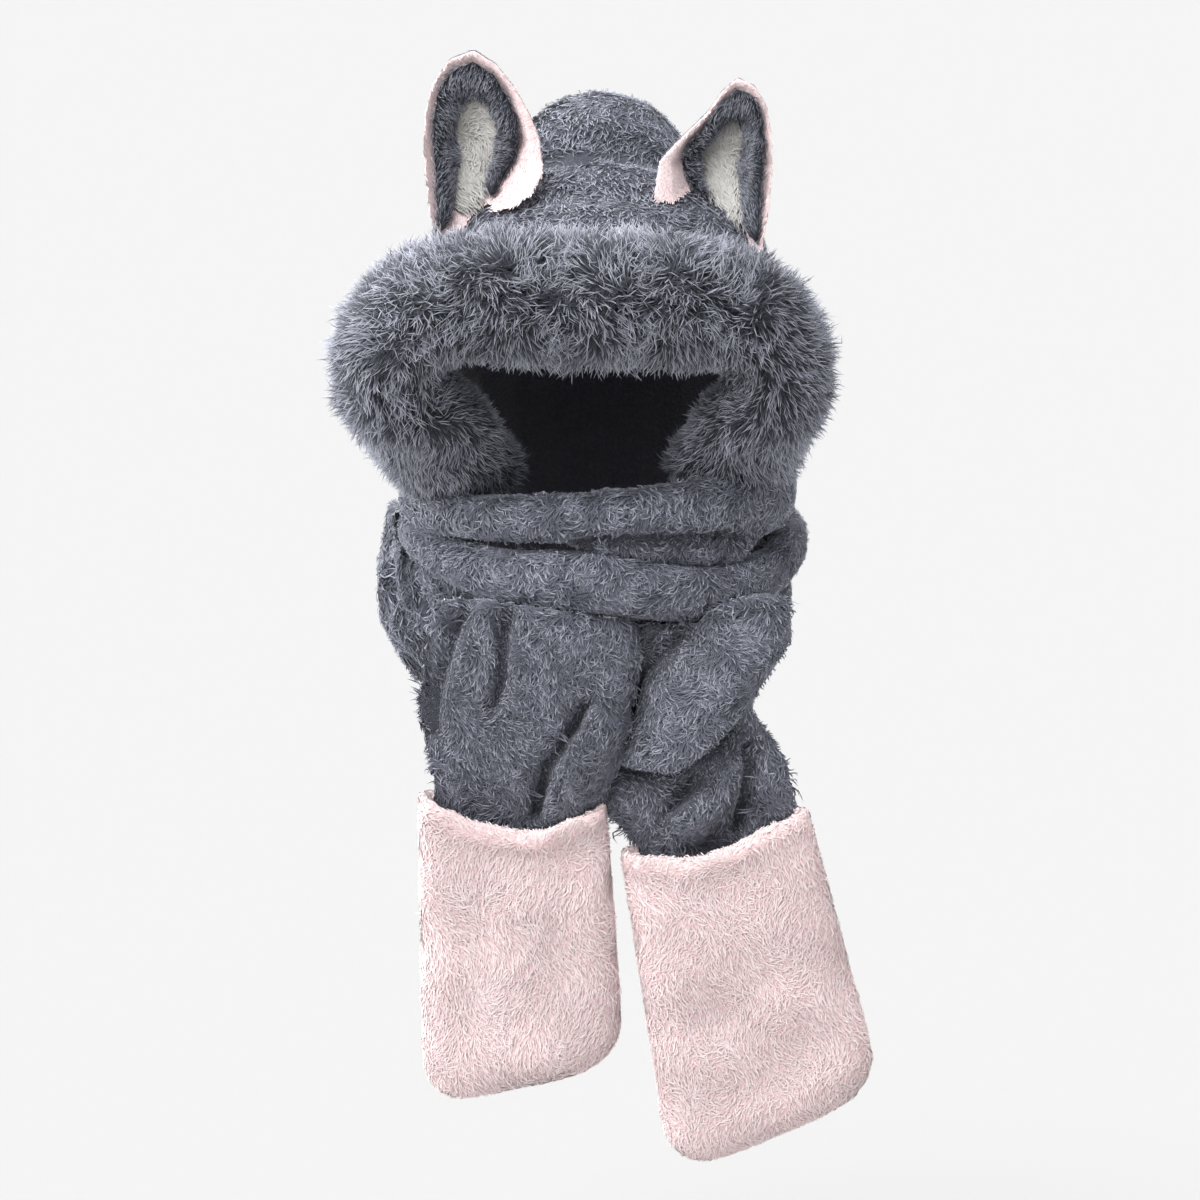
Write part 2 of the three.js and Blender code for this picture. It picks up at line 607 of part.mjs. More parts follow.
// One wound turn, a plump rounded section carried round the neck
function band(rows, top) {
  const stations = 28;
  const sides = 11;
  return loft(Array.from({ length: stations }, (_, i) => {
    const turn = i / stations;
    const row = rowAt(rows, turn, true);
    const centre = roundNeck(turn, row.reach, neckHalfWidth, neckFront, neckBack);
    const out = centre.clone().normalize();
    return Array.from({ length: sides }, (__, k) => {
      const angle = (k / sides) * 2 * Math.PI;
      const across = rounded(Math.cos(angle), bandRound);
      const up = rounded(Math.sin(angle), bandRound);
      const point = centre.clone().addScaledVector(out, across * row.thick * bandThickness / 2);
      point.z = top + (row.rise + up * row.tall / 2) * bandHeight;
      return point;
    });
  }), true);
}

// The wide turn round the sides and the back, with upright folds
function wideTurn() {
  const down = shares(6);
  return loft(shares(27).map((share) => {
    const row = rowAt(backRows, share);
    const turn = (backStart + (backEnd - backStart) * share) / 360;
    const fold = row.fold * backFold * Math.cos(turn * 2 * Math.PI * backFoldCount);
    const at = (deep, inwards) => {
      const tuck = backTuck.depth * Math.max(0, deep - backTuck.from) ** backTuck.power;
      const belly = 1 - tuck - backLean * (1 - deep) ** 2;
      const point = roundNeck(turn, row.reach * belly, backHalfWidth, backFront, backReach);
      const out = point.clone().normalize();
      point.addScaledVector(out, fold * (backFoldTop + deep) - inwards);
      point.z = backTop - (row.top + (row.foot - row.top) * deep) * backDrop;
      return point;
    };
    return [...down.map((deep) => at(deep, 0)), ...down.map((deep) => at(1 - deep, backThickness))];
  }));
}

// Height of the folds at a place on a scarf end
function foldHeight(folds, length, x, z) {
  let height = 0;
  for (const fold of folds) {
    const line = new THREE.Line3(
      new THREE.Vector3(fold.x0 * endWidth, 0, endTop - fold.z0 * length),
      new THREE.Vector3(fold.x1 * endWidth, 0, endTop - fold.z1 * length),
    );
    const place = new THREE.Vector3(x, 0, z);
    const away = line.closestPointToPoint(place, true, new THREE.Vector3()).distanceTo(place);
    height += fold.high * endThickness * Math.exp(-((away / (fold.wide * endWidth)) ** 2));
  }
  return height;
}

// One hanging end: flattened rings from under the wound turns down into the pocket
function scarfEnd(rows, folds, length) {
  const across = 15;
  const levels = shares(15);
  return loft(levels.map((share) => {
    const row = rowAt(rows, share);
    const level = endTop - share * length;
    const fade = 1 - THREE.MathUtils.smoothstep(share, endFade.from, endFade.to);
    const at = (t, face) => {
      const edge = Math.sqrt(Math.max(0, 1 - Math.abs(2 * t - 1) ** 3));
      const x = (row.from + (row.to - row.from) * t) * endWidth;
      const z = level + (t - 0.5) * row.tilt * endWidth;
      const middle = endFront + (row.front + row.thick / 2) * endThickness;
      const relief = face > 0 ? foldHeight(folds, length, x, z) * fade * edge : 0;
      return new THREE.Vector3(x, middle - face * edge * row.thick * endThickness / 2 - relief, z);
    };
    const front = shares(across).map((t) => at(t, 1));
    const rear = shares(8).slice(1, -1).reverse().map((t) => at(t, -1));
    return [...front, ...rear];
  }));
}

// Pockets

// A place on a pocket: across from -1 to 1 and down from 0 to 1 between its four corners
function pocketPlace(pocket, across, down) {
  const s = (across + 1) / 2;
  const mix = (axis) => {
    const top = pocket.topLeft[axis] + (pocket.topRight[axis] - pocket.topLeft[axis]) * s;
    const foot = pocket.footLeft[axis] + (pocket.footRight[axis] - pocket.footLeft[axis]) * s;
    return top + (foot - top) * down;
  };
  return new THREE.Vector3(mix('x') * pocketWidth, 0, pocketTop - mix('z') * pocketLength);
}

// One ring of a pocket's skin, set inwards by a wall
function pocketRing(pocket, down, inset) {
  const sides = 22;
  const corner = pocketCorner / pocketLength;
  const late = Math.max(0, (down - 1 + corner) / corner);
  const narrow = 1 - (2 * pocketCorner / pocketWidth) * (1 - Math.sqrt(Math.max(0, 1 - late * late)));
  const width = narrow - 2 * inset / pocketWidth;
  const bulge = Math.sin(Math.PI * Math.min(1, down + plumpStart));
  const plump = mouthPlump + (1 - mouthPlump) * bulge;
  const shut = Math.max(0, (down - closeFrom) / (1 - closeFrom));
  const closing = Math.sqrt(Math.max(closedDepth ** 2, 1 - shut ** 2));
  const depth = pocketDepth / 2 * plump * (inset > 0 ? 1 : closing) - inset;
  const back = pocketFront + pocketDepth / 2;
  const length = down * (1 - inset / pocketLength);
  return Array.from({ length: sides }, (_, k) => {
    const angle = (k / sides) * 2 * Math.PI;
    const x = rounded(Math.cos(angle), pocketRoundX);
    const y = rounded(Math.sin(angle), pocketRoundY);
    const point = pocketPlace(pocket, x * width, length);
    const sag = (1 - x * x) * mouthSag * (1 - down) ** 2;
    point.z -= sag;
    point.y = back + y * Math.max(depth, 1);
    return point;
  });
}

function pocketPouch(pocket) {
  const outside = [0, 0.08, 0.3, 0.55, 0.78, 0.87, 0.93, 0.975, 1];
  const inside = [0.95, 0.87, 0.7, 0.4, 0.1, 0];
  return loft([
    ...inside.map((down) => pocketRing(pocket, down, pocketWall)),
    ...outside.map((down) => pocketRing(pocket, down, 0)),
  ]);
}

function piece(name, geometry, look) {
  const mesh = new THREE.Mesh(geometry, new THREE.MeshStandardMaterial(look));
  mesh.name = name;
  return mesh;
}

// Assembly

const upperForm = band(upperBandRows, upperBandTop);
const trimSolid = clearOf(trim(), [upperForm]);
const hoodSolid = clearOf(hood(hoodWall), [trimEnvelope()]);
const hoodBlock = hood(hoodBlockWall);
const upperBand = clearOf(upperForm, [hoodBlock]);
const lowerForm = band(lowerBandRows, lowerBandTop);
const lowerBand = clearOf(lowerForm, [hoodBlock, upperForm]);
const backLayer = clearOf(wideTurn(), [hoodBlock, upperForm, lowerForm]);
const pouches = pocketPlaces.map((pocket) => pocketPouch(pocket));
const leftForm = scarfEnd(leftEndRows, leftEndFolds, leftEndLength);
const leftEnd = clearOf(leftForm, [lowerForm, upperForm, pouches[0], backLayer]);
const rightForm = scarfEnd(rightEndRows, rightEndFolds, rightEndLength);
const rightEnd = clearOf(rightForm, [lowerForm, upperForm, pouches[1], pouches[0], leftForm, backLayer]);

const part = new THREE.Group();
part.add(piece('hood_shell', hoodSolid, greyPlush));
part.add(piece('hood_trim', trimSolid, greyFur));
for (const ear of earPlaces) part.add(...earPieces(ear, hoodBlock));
part.add(piece('scarf_band_upper', upperBand, greyPlush));
part.add(piece('scarf_band_lower', lowerBand, greyPlush));
part.add(piece('scarf_back', backLayer, greyPlush));
part.add(piece('scarf_end_left', leftEnd, greyPlush));
part.add(piece('scarf_end_right', rightEnd, greyPlush));
pouches.forEach((pouch, i) => part.add(piece(pocketPlaces[i].name, pouch, pinkPlush)));

// The origin is the seat on the head, the underside of the crown
part.position.z = -hoodPoint(1, sideShare, 0, hoodWall).z;

export default part;
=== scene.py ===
"""Looks of the animal hood scarf: every CAD solid gets a soft skin of its own and a pile of strands.

Metres, +Z up, the face opening looks along -Y, the origin is the seat of the crown on the head.
Left and right are as seen from the front. A zone is a pair of values: its share is 0 at the first
and beyond, 1 at the second and beyond, and smooth between them.
"""

import functools
import math

import bpy
import numpy as np
from mathutils.kdtree import KDTree
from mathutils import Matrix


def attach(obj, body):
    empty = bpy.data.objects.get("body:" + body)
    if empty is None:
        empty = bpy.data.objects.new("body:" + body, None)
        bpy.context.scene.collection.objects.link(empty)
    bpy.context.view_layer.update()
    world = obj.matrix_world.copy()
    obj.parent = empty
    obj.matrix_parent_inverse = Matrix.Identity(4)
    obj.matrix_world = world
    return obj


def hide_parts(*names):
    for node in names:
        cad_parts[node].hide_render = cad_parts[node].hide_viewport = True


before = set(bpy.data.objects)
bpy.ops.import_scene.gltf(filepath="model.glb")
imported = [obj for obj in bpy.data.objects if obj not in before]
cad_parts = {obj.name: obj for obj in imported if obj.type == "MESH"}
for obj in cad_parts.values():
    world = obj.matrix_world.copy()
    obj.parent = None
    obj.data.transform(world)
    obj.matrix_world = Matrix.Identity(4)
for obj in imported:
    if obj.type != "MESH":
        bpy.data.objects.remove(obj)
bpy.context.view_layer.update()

TINY = 1e-12  # keeps a division from being one by zero

# Camera of the photograph: it looks down on the scarf a little
CAMERA_PLACE = (0.0, -3.8852, 0.8314)
CAMERA_PITCH = math.radians(73.0)
CAMERA_LENS = 150.0
CAMERA_SENSOR = 36.0
CAMERA_REACH = 200.0

# Stage: suns with their softness, tilt and turn in degrees
FLOOR_Z = -1.25
FLOOR_SIZE = 60.0
FLOOR_GREY = 0.4
WORLD_STRENGTH = 0.42
SUNS = [
    {"name": "top", "strength": 3.1, "soft": 35, "tilt": 24, "turn": -35},
    {"name": "back", "strength": 2.4, "soft": 40, "tilt": -55, "turn": 15},
    {"name": "front_left", "strength": 1.75, "soft": 35, "tilt": 62, "turn": -66},
    {"name": "left_edge", "strength": 2.5, "soft": 40, "tilt": 76, "turn": -105},
    {"name": "right_edge", "strength": 0.9, "soft": 50, "tilt": 78, "turn": 112},
]

# The map: strands use its left part, and a skin has a cell in the rest for each way that its faces look
UV_NAME = "OFBake"
STRAND_SHARE = 0.46
MAP_EDGE = 0.02
SKIN_START = 0.5
CELL_COUNTS = (2, 3)
CELL_MARGIN = 0.06
NORMAL_NAME = "pile_normal"

# Linear colours: root, middle and tip of a strand, and the skin under the pile. The dark roots and the dark
# skins of the greys are partly the fur's own tone and partly painted shade deep in the pile, and the light
# tips are partly their own tone and partly painted highlights
LOOKS = {
    "grey_long": {
        "slot": "grey_long_fur",
        "root": (0.01, 0.011, 0.016),
        "middle": (0.037, 0.04, 0.053),
        "tip": (0.42, 0.433, 0.5),
        "skin": (0.03, 0.032, 0.043),
        "sheen": 1.0,
        "sheen_tint": (0.8, 0.83, 0.95, 1),
        "dull": 0.45,
        "bright": 1.55,
    },
    "grey_plush": {
        "slot": "grey_plush",
        "root": (0.04, 0.042, 0.055),
        "middle": (0.12, 0.126, 0.158),
        "tip": (0.42, 0.43, 0.5),
        "skin": (0.075, 0.079, 0.103),
        "sheen": 1.0,
        "sheen_tint": (0.8, 0.84, 0.97, 1),
        "dull": 0.62,
        "bright": 1.35,
    },
    "pink_plush": {
        "slot": "pink_plush",
        "root": (0.8, 0.55, 0.555),
        "middle": (0.94, 0.765, 0.77),
        "tip": (0.98, 0.895, 0.89),
        "skin": (0.9, 0.7, 0.7),
        "sheen": 0.55,
        "sheen_tint": (1.0, 0.96, 0.96, 1),
        "dull": 0.87,
        "bright": 1.07,
    },
    "cream_plush": {
        "slot": "cream_plush",
        "root": (0.36, 0.35, 0.32),
        "middle": (0.52, 0.51, 0.485),
        "tip": (0.72, 0.71, 0.69),
        "skin": (0.6, 0.59, 0.54),
        "sheen": 0.4,
        "sheen_tint": (1.0, 1.0, 0.98, 1),
        "dull": 0.75,
        "bright": 1.2,
    },
}

# Where a strand's root, middle and tip colours stand along it
RAMP_PLACES = (0.05, 0.5, 0.98)

# The shaders' own values, and the grain of the underfur with how it darkens, lightens and lifts it
STRAND_SHADER = {"Roughness": 0.62, "Specular IOR Level": 0.32, "Sheen Roughness": 0.35}
SKIN_SHADER = {"Roughness": 0.9, "Specular IOR Level": 0.1}
FLOOR_SHADER = {"Roughness": 1.0, "Specular IOR Level": 0.0}
GRAIN = {"Scale": 420.0, "Detail": 3.0, "Roughness": 0.6}
GRAIN_SHADE = {"From Min": 0.3, "From Max": 0.7, "To Min": 0.75, "To Max": 1.2}
GRAIN_RELIEF = {"Strength": 0.5, "Distance": 0.002}

# Smooth random values: how many waves make one, the spread of their lengths, and the scale and limit
WAVE_COUNT = 9
WAVE_LENGTHS = (0.7, 1.5)
WANDER_SCALE = 1.6
WANDER_MOST = 1.4

# Smoothing pulls a skin in by the first share and then pushes it out by the second
SMOOTHING_PULLS = (0.55, -0.57)

# How the piles grow. Lengths, widths and sizes are in metres and the rest are shares. Where rise isn't
# None, the tips are brought to that height above the skin
LONG_FUR = {
    "length": 0.0195, "width": 0.0013, "stand": 1.15, "tip_stand": 0.42,
    "swirl": 0.34, "swirl_size": 0.04, "loose": 0.13, "bend": 0.3, "wave": 0.07, "uneven": 0.32,
    "patch_size": 0.05, "mixed": 0.22, "shade_to": 1.0, "rise": None, "round": 0.4,
}
SHORT_PILE = {
    "length": 0.014, "width": 0.0014, "stand": 0.42, "tip_stand": -0.2,
    "swirl": 0.7, "swirl_size": 0.032, "loose": 0.17, "bend": 0.4, "wave": 0.11, "uneven": 0.28,
    "patch_size": 0.06, "mixed": 0.2, "shade_to": 1.0, "rise": 0.0012, "round": 0.4,
}
SOFT_PILE = {
    "length": 0.0115, "width": 0.0012, "stand": 0.26, "tip_stand": -0.15,
    "swirl": 0.5, "swirl_size": 0.05, "loose": 0.13, "bend": 0.3, "wave": 0.1, "uneven": 0.3,
    "patch_size": 0.05, "mixed": 0.16, "shade_to": 1.0, "rise": 0.0006, "round": 0.2,
}
LONG_UNDERFUR = dict(LONG_FUR, length=0.0155, shade_to=0.72)
SHORT_UNDERFUR = dict(
    SHORT_PILE, length=0.0068, width=0.0024, stand=0.5, tip_stand=0.1, mixed=0.1, shade_to=0.7, rise=None
)
SOFT_UNDERFUR = dict(
    SOFT_PILE, length=0.0052, width=0.0018, stand=0.45, tip_stand=0.15, mixed=0.1, shade_to=0.6, rise=None
)
CROWN_PILE = dict(
    SHORT_PILE, length=0.0115, width=0.0013, stand=0.6, tip_stand=-0.05, swirl=0.4, rise=None
)
RING_FUR = dict(LONG_FUR, length=0.0095, stand=0.9, tip_stand=0.2, shade_to=0.86)
EAR_PILE = dict(SOFT_PILE, length=0.0036, width=0.001, stand=0.25, tip_stand=-0.1, rise=0.0003)
CENTER_FUR = dict(SOFT_PILE, length=0.013, stand=0.5, tip_stand=0.1, wave=0.06)

# What all strands share
MOST_LOWERED = 0.4  # of the length
SAME_SIDE = (-0.4, 0)  # zone of how far a place's normal and that of the skin under its tip agree
SKIN_SHADING = 0.85  # a strand is shaded by the skin's normal, and by its own for the rest
SIDE_TURN = 0.35
WIDTH_SPREAD = (0.75, 1.25)
TAPER = 0.4
WAVE_TURN = 5.0
TINT_MIDDLE = 0.5
TINT_PATCHES = 0.1
# Painted shade: a strand is darker the shorter it is, which darkens the grooves of the folds, the corners
# of the opening, the trim's feet and the backs and rims of the pockets
PAINTED_SHADE_WHERE_SHORT = -0.4
TINT_LIMITS = (0.02, 0.98)
TINT_EDGE = 0.02

# The kinds of piece: the cell of the even skin, its rounds of smoothing, how far it is set in and the
# share of its faces kept, the look and the fill, and each pile's style, count and steps along a strand
KINDS = {
    "hood": {
        "cell": 0.0045, "rounds": 10, "inset": 0.0025, "keep": 0.29, "look": "grey_plush", "fill": 0.3,
        "piles": [(CROWN_PILE, 11500, 4), (SHORT_UNDERFUR, 33000, 1)],
    },
    "trim": {
        "cell": 0.005, "rounds": 26, "inset": 0.0035, "keep": 0.6, "look": "grey_long", "fill": 0.8,
        "piles": [(LONG_FUR, 24500, 3), (LONG_UNDERFUR, 44000, 1)],
    },
    "band": {
        "cell": 0.005, "rounds": 14, "inset": 0.0025, "keep": 0.8, "look": "grey_plush", "fill": 0.7,
        "piles": [(SHORT_PILE, 7200, 4), (SHORT_UNDERFUR, 25000, 1)],
    },
    "back": {
        "cell": 0.005, "rounds": 8, "inset": 0.0025, "keep": 0.6, "look": "grey_plush", "fill": 0.4,
        "piles": [(SHORT_PILE, 8000, 4), (SHORT_UNDERFUR, 28000, 1)],
    },
    "end": {
        "cell": 0.0035, "rounds": 8, "inset": 0.002, "keep": 0.8, "look": "grey_plush", "fill": 0.5,
        "piles": [(SHORT_PILE, 5800, 4), (SHORT_UNDERFUR, 22000, 1)],
    },
    "pocket": {
        "cell": 0.0045, "rounds": 8, "inset": 0.0005, "keep": 0.6, "look": "pink_plush", "fill": 0.3,
        "piles": [(SOFT_PILE, 9500, 3), (SOFT_UNDERFUR, 18000, 1)],
    },
}

# The ear's layers: the way that the fur of each one looks along Y
EAR_SKIN = {"cell": 0.0018, "rounds": 14, "inset": 0.0006, "keep": 0.35, "fill": 0.3}
EAR_LAYERS = {
    "back": {"look": "grey_plush", "way": 1, "piles": [(EAR_PILE, 3000, 2)]},
    "lining": {"look": "pink_plush", "way": -1, "piles": [(EAR_PILE, 6000, 2)]},
    "ring": {"look": "grey_long", "way": -1, "piles": [(RING_FUR, 3600, 2)]},
    "center": {"look": "cream_plush", "way": -1, "piles": [(CENTER_FUR, 1300, 2)]},
}

# Folds as the front shows them: x and z of the line's corners from its start, the height of the lip on
# the line's left hand side, the depth of its groove and how far the lip spreads
LEFT_END_FOLDS = [
    {"line": [(-0.097, -0.315), (-0.113, -0.355), (-0.122, -0.393), (-0.126, -0.44)],
     "lip": 0.005, "groove": 0.011, "fade": 0.012},
    {"line": [(-0.069, -0.322), (-0.074, -0.355), (-0.076, -0.387), (-0.084, -0.415)],
     "lip": 0.006, "groove": 0.009, "fade": 0.014},
    {"line": [(-0.006, -0.4), (-0.018, -0.425), (-0.038, -0.456), (-0.05, -0.51)],
     "lip": 0.016, "groove": 0.01, "fade": 0.024},
]
RIGHT_END_FOLDS = [
    {"line": [(0.028, -0.43), (0.032, -0.39), (0.046, -0.376), (0.075, -0.345)],
     "lip": -0.018, "groove": 0.006, "fade": 0.035},
    {"line": [(0.012, -0.459), (0.03, -0.464), (0.057, -0.464), (0.076, -0.454), (0.09, -0.441),
              (0.112, -0.42)],
     "lip": 0.011, "groove": 0.012, "fade": 0.03},
    {"line": [(0.082, -0.458), (0.072, -0.482), (0.05, -0.505)],
     "lip": 0.011, "groove": 0.008, "fade": 0.018},
    {"line": [(0.106, -0.52), (0.118, -0.462), (0.111, -0.435)],
     "lip": 0.005, "groove": 0.01, "fade": 0.012},
]
TURN_FOLDS = [
    {"line": [(-0.168, -0.285), (-0.172, -0.31), (-0.165, -0.345), (-0.15, -0.375)],
     "lip": 0.003, "groove": 0.009, "fade": 0.008},
    {"line": [(-0.151, -0.285), (-0.153, -0.315), (-0.147, -0.345), (-0.136, -0.375)],
     "lip": 0.003, "groove": 0.009, "fade": 0.008},
]
UPPER_BAND_FOLDS = [
    {"line": [(-0.03, -0.278), (0.002, -0.271), (0.04, -0.269), (0.082, -0.271), (0.12, -0.276)],
     "lip": 0.004, "groove": 0.01, "fade": 0.012},
]
FOLD_EDGE = 0.0065  # how fast a lip rises beside its groove
LIP_ZONE = (-0.001, FOLD_EDGE)
GROOVE_SHIFT = 0.3 * FOLD_EDGE
FOLD_ENDS = (0, 0.012)
FOLD_FACING = (0.2, -0.3)
GROOVE_FUR_WIDTH = 1.4 * FOLD_EDGE
GROOVE_FUR_SHORTER = 0.72

# Hood: its middle, and the crown's cross creases as y at the middle and depth
HOOD_SEED = 11
HOOD_CORE = np.array([0.0, 0.015, -0.108])
HOOD_LAY = (0, -0.3, -0.3)
HOOD_FUR_LEAST = 1e-4
HOOD_OUTSIDE = (-0.1, 0.3)
HOOD_ABOVE_SCARF = (-0.29, -0.23)
UNDER_SCARF_LEAST = 0.3
HOOD_BEHIND = (0.1, 0.6)
HOOD_BEHIND_FEWER = 0.4
CREASES = [(-0.05, 0.004), (0.016, 0.007)]
CREASE_CURVE = 1.2
CREASE_WIDTH = 0.011
CROWN_OUTSIDE = (0.1, 0.5)
CROWN_TOP = (-0.04, 0.0)
BUMP_RISE = 0.007
BUMP_BACK = (0.02, 0.05)
BUMP_TOP = (-0.02, 0.03)

# Trim: x, z and side of the opening's upper corners, and the feet behind the wound turn
TRIM_SEED = 21
TRIM_LAY = (0, 0.6, -0.3)
TRIM_FUR_LEAST = 0.4
TRIM_FACING = (0.75, 0.1)
TRIM_CORNERS = [(-0.1, -0.135, -1), (0.1, -0.138, 1)]
CORNER_WIDTH = 0.03
CORNER_OUT = 0.017
CORNER_UP = 0.004
CORNER_FUR_SHORTER = 0.55
TUCK_START_Z = -0.175
TUCK_BACK = 0.8
FOOT_START_Z = -0.2
FOOT_INNER = (0.13, 0.07)
FOOT_OUT = 0.5
FOOT_DOWN = 0.3
FOOT_FUR = (-0.215, -0.25)
FOOT_FUR_SHORTER = 0.4

# Wound turns: the fur on their faces towards the neck, and the inner layer that shows between them
UPPER_BAND_SEED = 31
LOWER_BAND_SEED = 35
NECK_MIDDLE = np.array([0.0, 0.012, -0.3])
TURN_FUR_LEAST = 0.22
TURN_OUTSIDE = (-0.35, 0.25)
BAND_LAY = 0.4
LAYER_LEFT = (-0.035, 0.0)
LAYER_RIGHT = (0.135, 0.105)
LAYER_LOW = (-0.262, -0.278)
LAYER_FRONT = (-0.05, -0.08)
LAYER_DOWN = 0.022
LAYER_BACK = 0.006

# Wide turn: its ellipse from above, its upright pleats, and its front left behind the left end
TURN_SEED = 41
TURN_LAY = 0.45
TURN_HALF_WIDTH = 0.168
TURN_FRONT = 0.112
TURN_BACK = 0.146
PLEAT_COUNT = 26
PLEAT_DEPTH = 0.005
PLEAT_OUTSIDE = (0, 0.5)
PLEAT_BACK = (-0.06, 0.0)
PLEAT_WANDER = 1.5
PLEAT_WANDER_SIZE = 0.12
PLEAT_SEED = 5
BEHIND_END_FRONT = (-0.03, -0.075)
BEHIND_END_LOW = (-0.27, -0.3)
BEHIND_END_IN = 0.016
BEHIND_END_IN_LOW = 0.014
BEHIND_END_LOWEST = (-0.35, -0.38)
FRONT_LEFT = (0, -0.06)
FRONT_LEFT_FUR_LEAST = 0.6
FRONT_LEFT_FOOT_Z = -0.362
FRONT_LEFT_LIFT = 0.65

# Hanging ends: the left end's outer edge over its pocket, the right end's left edge behind the left end
LEFT_END_SEED = 151
RIGHT_END_SEED = 55
END_LAY = 0.5
END_FUR_LEAST = 0.5
END_FACING = (0.2, -0.2)
OUTER_EDGE_X = (-0.1, -0.13)
OUTER_EDGE_Z = (-0.47, -0.43)
OUTER_EDGE_WIDER = 0.007
HIDDEN_EDGE_X = (0.04, 0.01)
HIDDEN_EDGE_LOW = (-0.53, -0.49)
HIDDEN_EDGE_HIGH = (-0.38, -0.42)
HIDDEN_EDGE_WIDER = 0.012
HIDDEN_EDGE_BACK = 0.008

# Pockets: where a rim stands higher or lower than the solid's, as the place across it, the width and
# how much, and the dents, as their size and their share
POCKETS = [
    {"node": "pocket_left", "seed": 61, "lifts": [(-0.137, 0.035, 0.01), (-0.056, 0.022, -0.005)]},
    {"node": "pocket_right", "seed": 65, "lifts": [(0.135, 0.035, 0.009)]},
]
POCKET_MIDDLE_Y = -0.118
POCKET_HALF_DEPTH = 0.012
DENTS = [(0.11, 1), (0.05, 0.5)]
DENT_DEPTH = 0.0035
HEM_HEIGHT = 0.009
HEM_ROLL = 0.003
LIFT_FADE = (0.07, 0)
RIM_COLUMNS = 24
BELOW_ALL = -9
POCKET_FUR_LEAST = 0.03
POCKET_SIDES = 0.3
POCKET_FOOT = 0.6
POCKET_FOOT_HEIGHT = 0.03
POCKET_OUTSIDE = (-0.2, 0.2)
RIM_FUR = (-0.012, -0.004)
POCKET_LAY = 0.5
RIM_LAY = np.array([0, -0.15, 0.7])
RIM_LAY_ZONE = (-0.016, -0.002)
RIM_SHORT_ZONE = (-0.012, -0.002)
RIM_SHORTER = 0.45
POCKET_BEHIND = (-0.1, 0.4)
POCKET_BEHIND_SHORTER = 0.35

# Ears: the seed of the first layer and the step to the next, the fur, and the folded lobe on the crown
EAR_SEED = 71
EAR_SEED_STEP = 3
EAR_FUR_LEAST = 0.03
EAR_FACING = (0.0, 0.3)
EAR_LAY = 0.6
RING_LAY = 0.9
LOBE_INNER = (0.085, 0.06)
LOBE_CORNER = (0.078, 0.045)
LOBE_LOW = (0.03, -0.03)
LOBE_FORWARD = 0.017
LOBE_DOWN = 0.006
LEFT_LOBE_LIFT = 0.014
RIGHT_LOBE_LIFT = -0.006


def unit(vectors):
    """The vectors with their length made 1."""
    return vectors / np.maximum(np.linalg.norm(vectors, axis=-1, keepdims=True), TINY)


def share_in(zone, values):
    """0 up to the start of a zone, 1 past its end, and smooth between them."""
    start, end = zone
    t = np.clip((values - start) / (end - start), 0, 1)
    return t * t * (3 - 2 * t)


def at_least(least, shares):
    """Shares from 0 to 1 drawn up so that they run from the least one to 1."""
    return least + (1 - least) * shares


def bell(distances, width):
    """1 at no distance, and less and less past the width."""
    return np.exp(-((distances / width) ** 2))


def agreement(ways, others):
    """How far each way looks the same way as the other one: 1 for the same, -1 for the opposite."""
    return (ways * others).sum(axis=1)


def wander(points, scale, seed, columns=3):
    """A smooth random value for each point and column, about -1 to 1, that changes over scale metres."""
    rng = np.random.default_rng(seed)
    total = np.zeros((len(points), columns))
    for k in range(columns):
        directions = unit(rng.normal(size=(WAVE_COUNT, 3)))
        lengths = scale * rng.uniform(*WAVE_LENGTHS, WAVE_COUNT)
        phases = rng.uniform(0, 2 * math.pi, WAVE_COUNT)
        turns = points @ (directions * (2 * math.pi / lengths)[:, None]).T + phases
        total[:, k] = np.sin(turns).sum(axis=1) / math.sqrt(WAVE_COUNT / 2)
    return np.clip(total / WANDER_SCALE, -WANDER_MOST, WANDER_MOST)


# Skins


def vertex_normals(points, triangles):
    """The normal of each point, from the triangles round it by their area."""
    a, b, c = (points[triangles[:, i]] for i in range(3))
    faces = np.cross(b - a, c - a)
    total = np.zeros_like(points)
    for i in range(3):
        for axis in range(3):
            total[:, axis] += np.bincount(
                triangles[:, i], weights=faces[:, axis], minlength=len(points)
            )
    return unit(total)


def relaxed(points, triangles, rounds):
    """The skin smoothed without shrinking: each round pulls in and then pushes out again."""
    sides = [triangles[:, [0, 1]], triangles[:, [1, 2]], triangles[:, [2, 0]]]
    edges = np.unique(np.sort(np.concatenate(sides), axis=1), axis=0)
    one = np.concatenate([edges[:, 0], edges[:, 1]])
    other = np.concatenate([edges[:, 1], edges[:, 0]])
    total = len(points)
    count = np.maximum(np.bincount(one, minlength=total), 1)[:, None]
    points = points.copy()
    for _ in range(rounds):
        for pull in SMOOTHING_PULLS:
            sums = [np.bincount(one, weights=points[other, k], minlength=total) for k in range(3)]
            points += pull * (np.stack(sums, axis=1) / count - points)
    return points


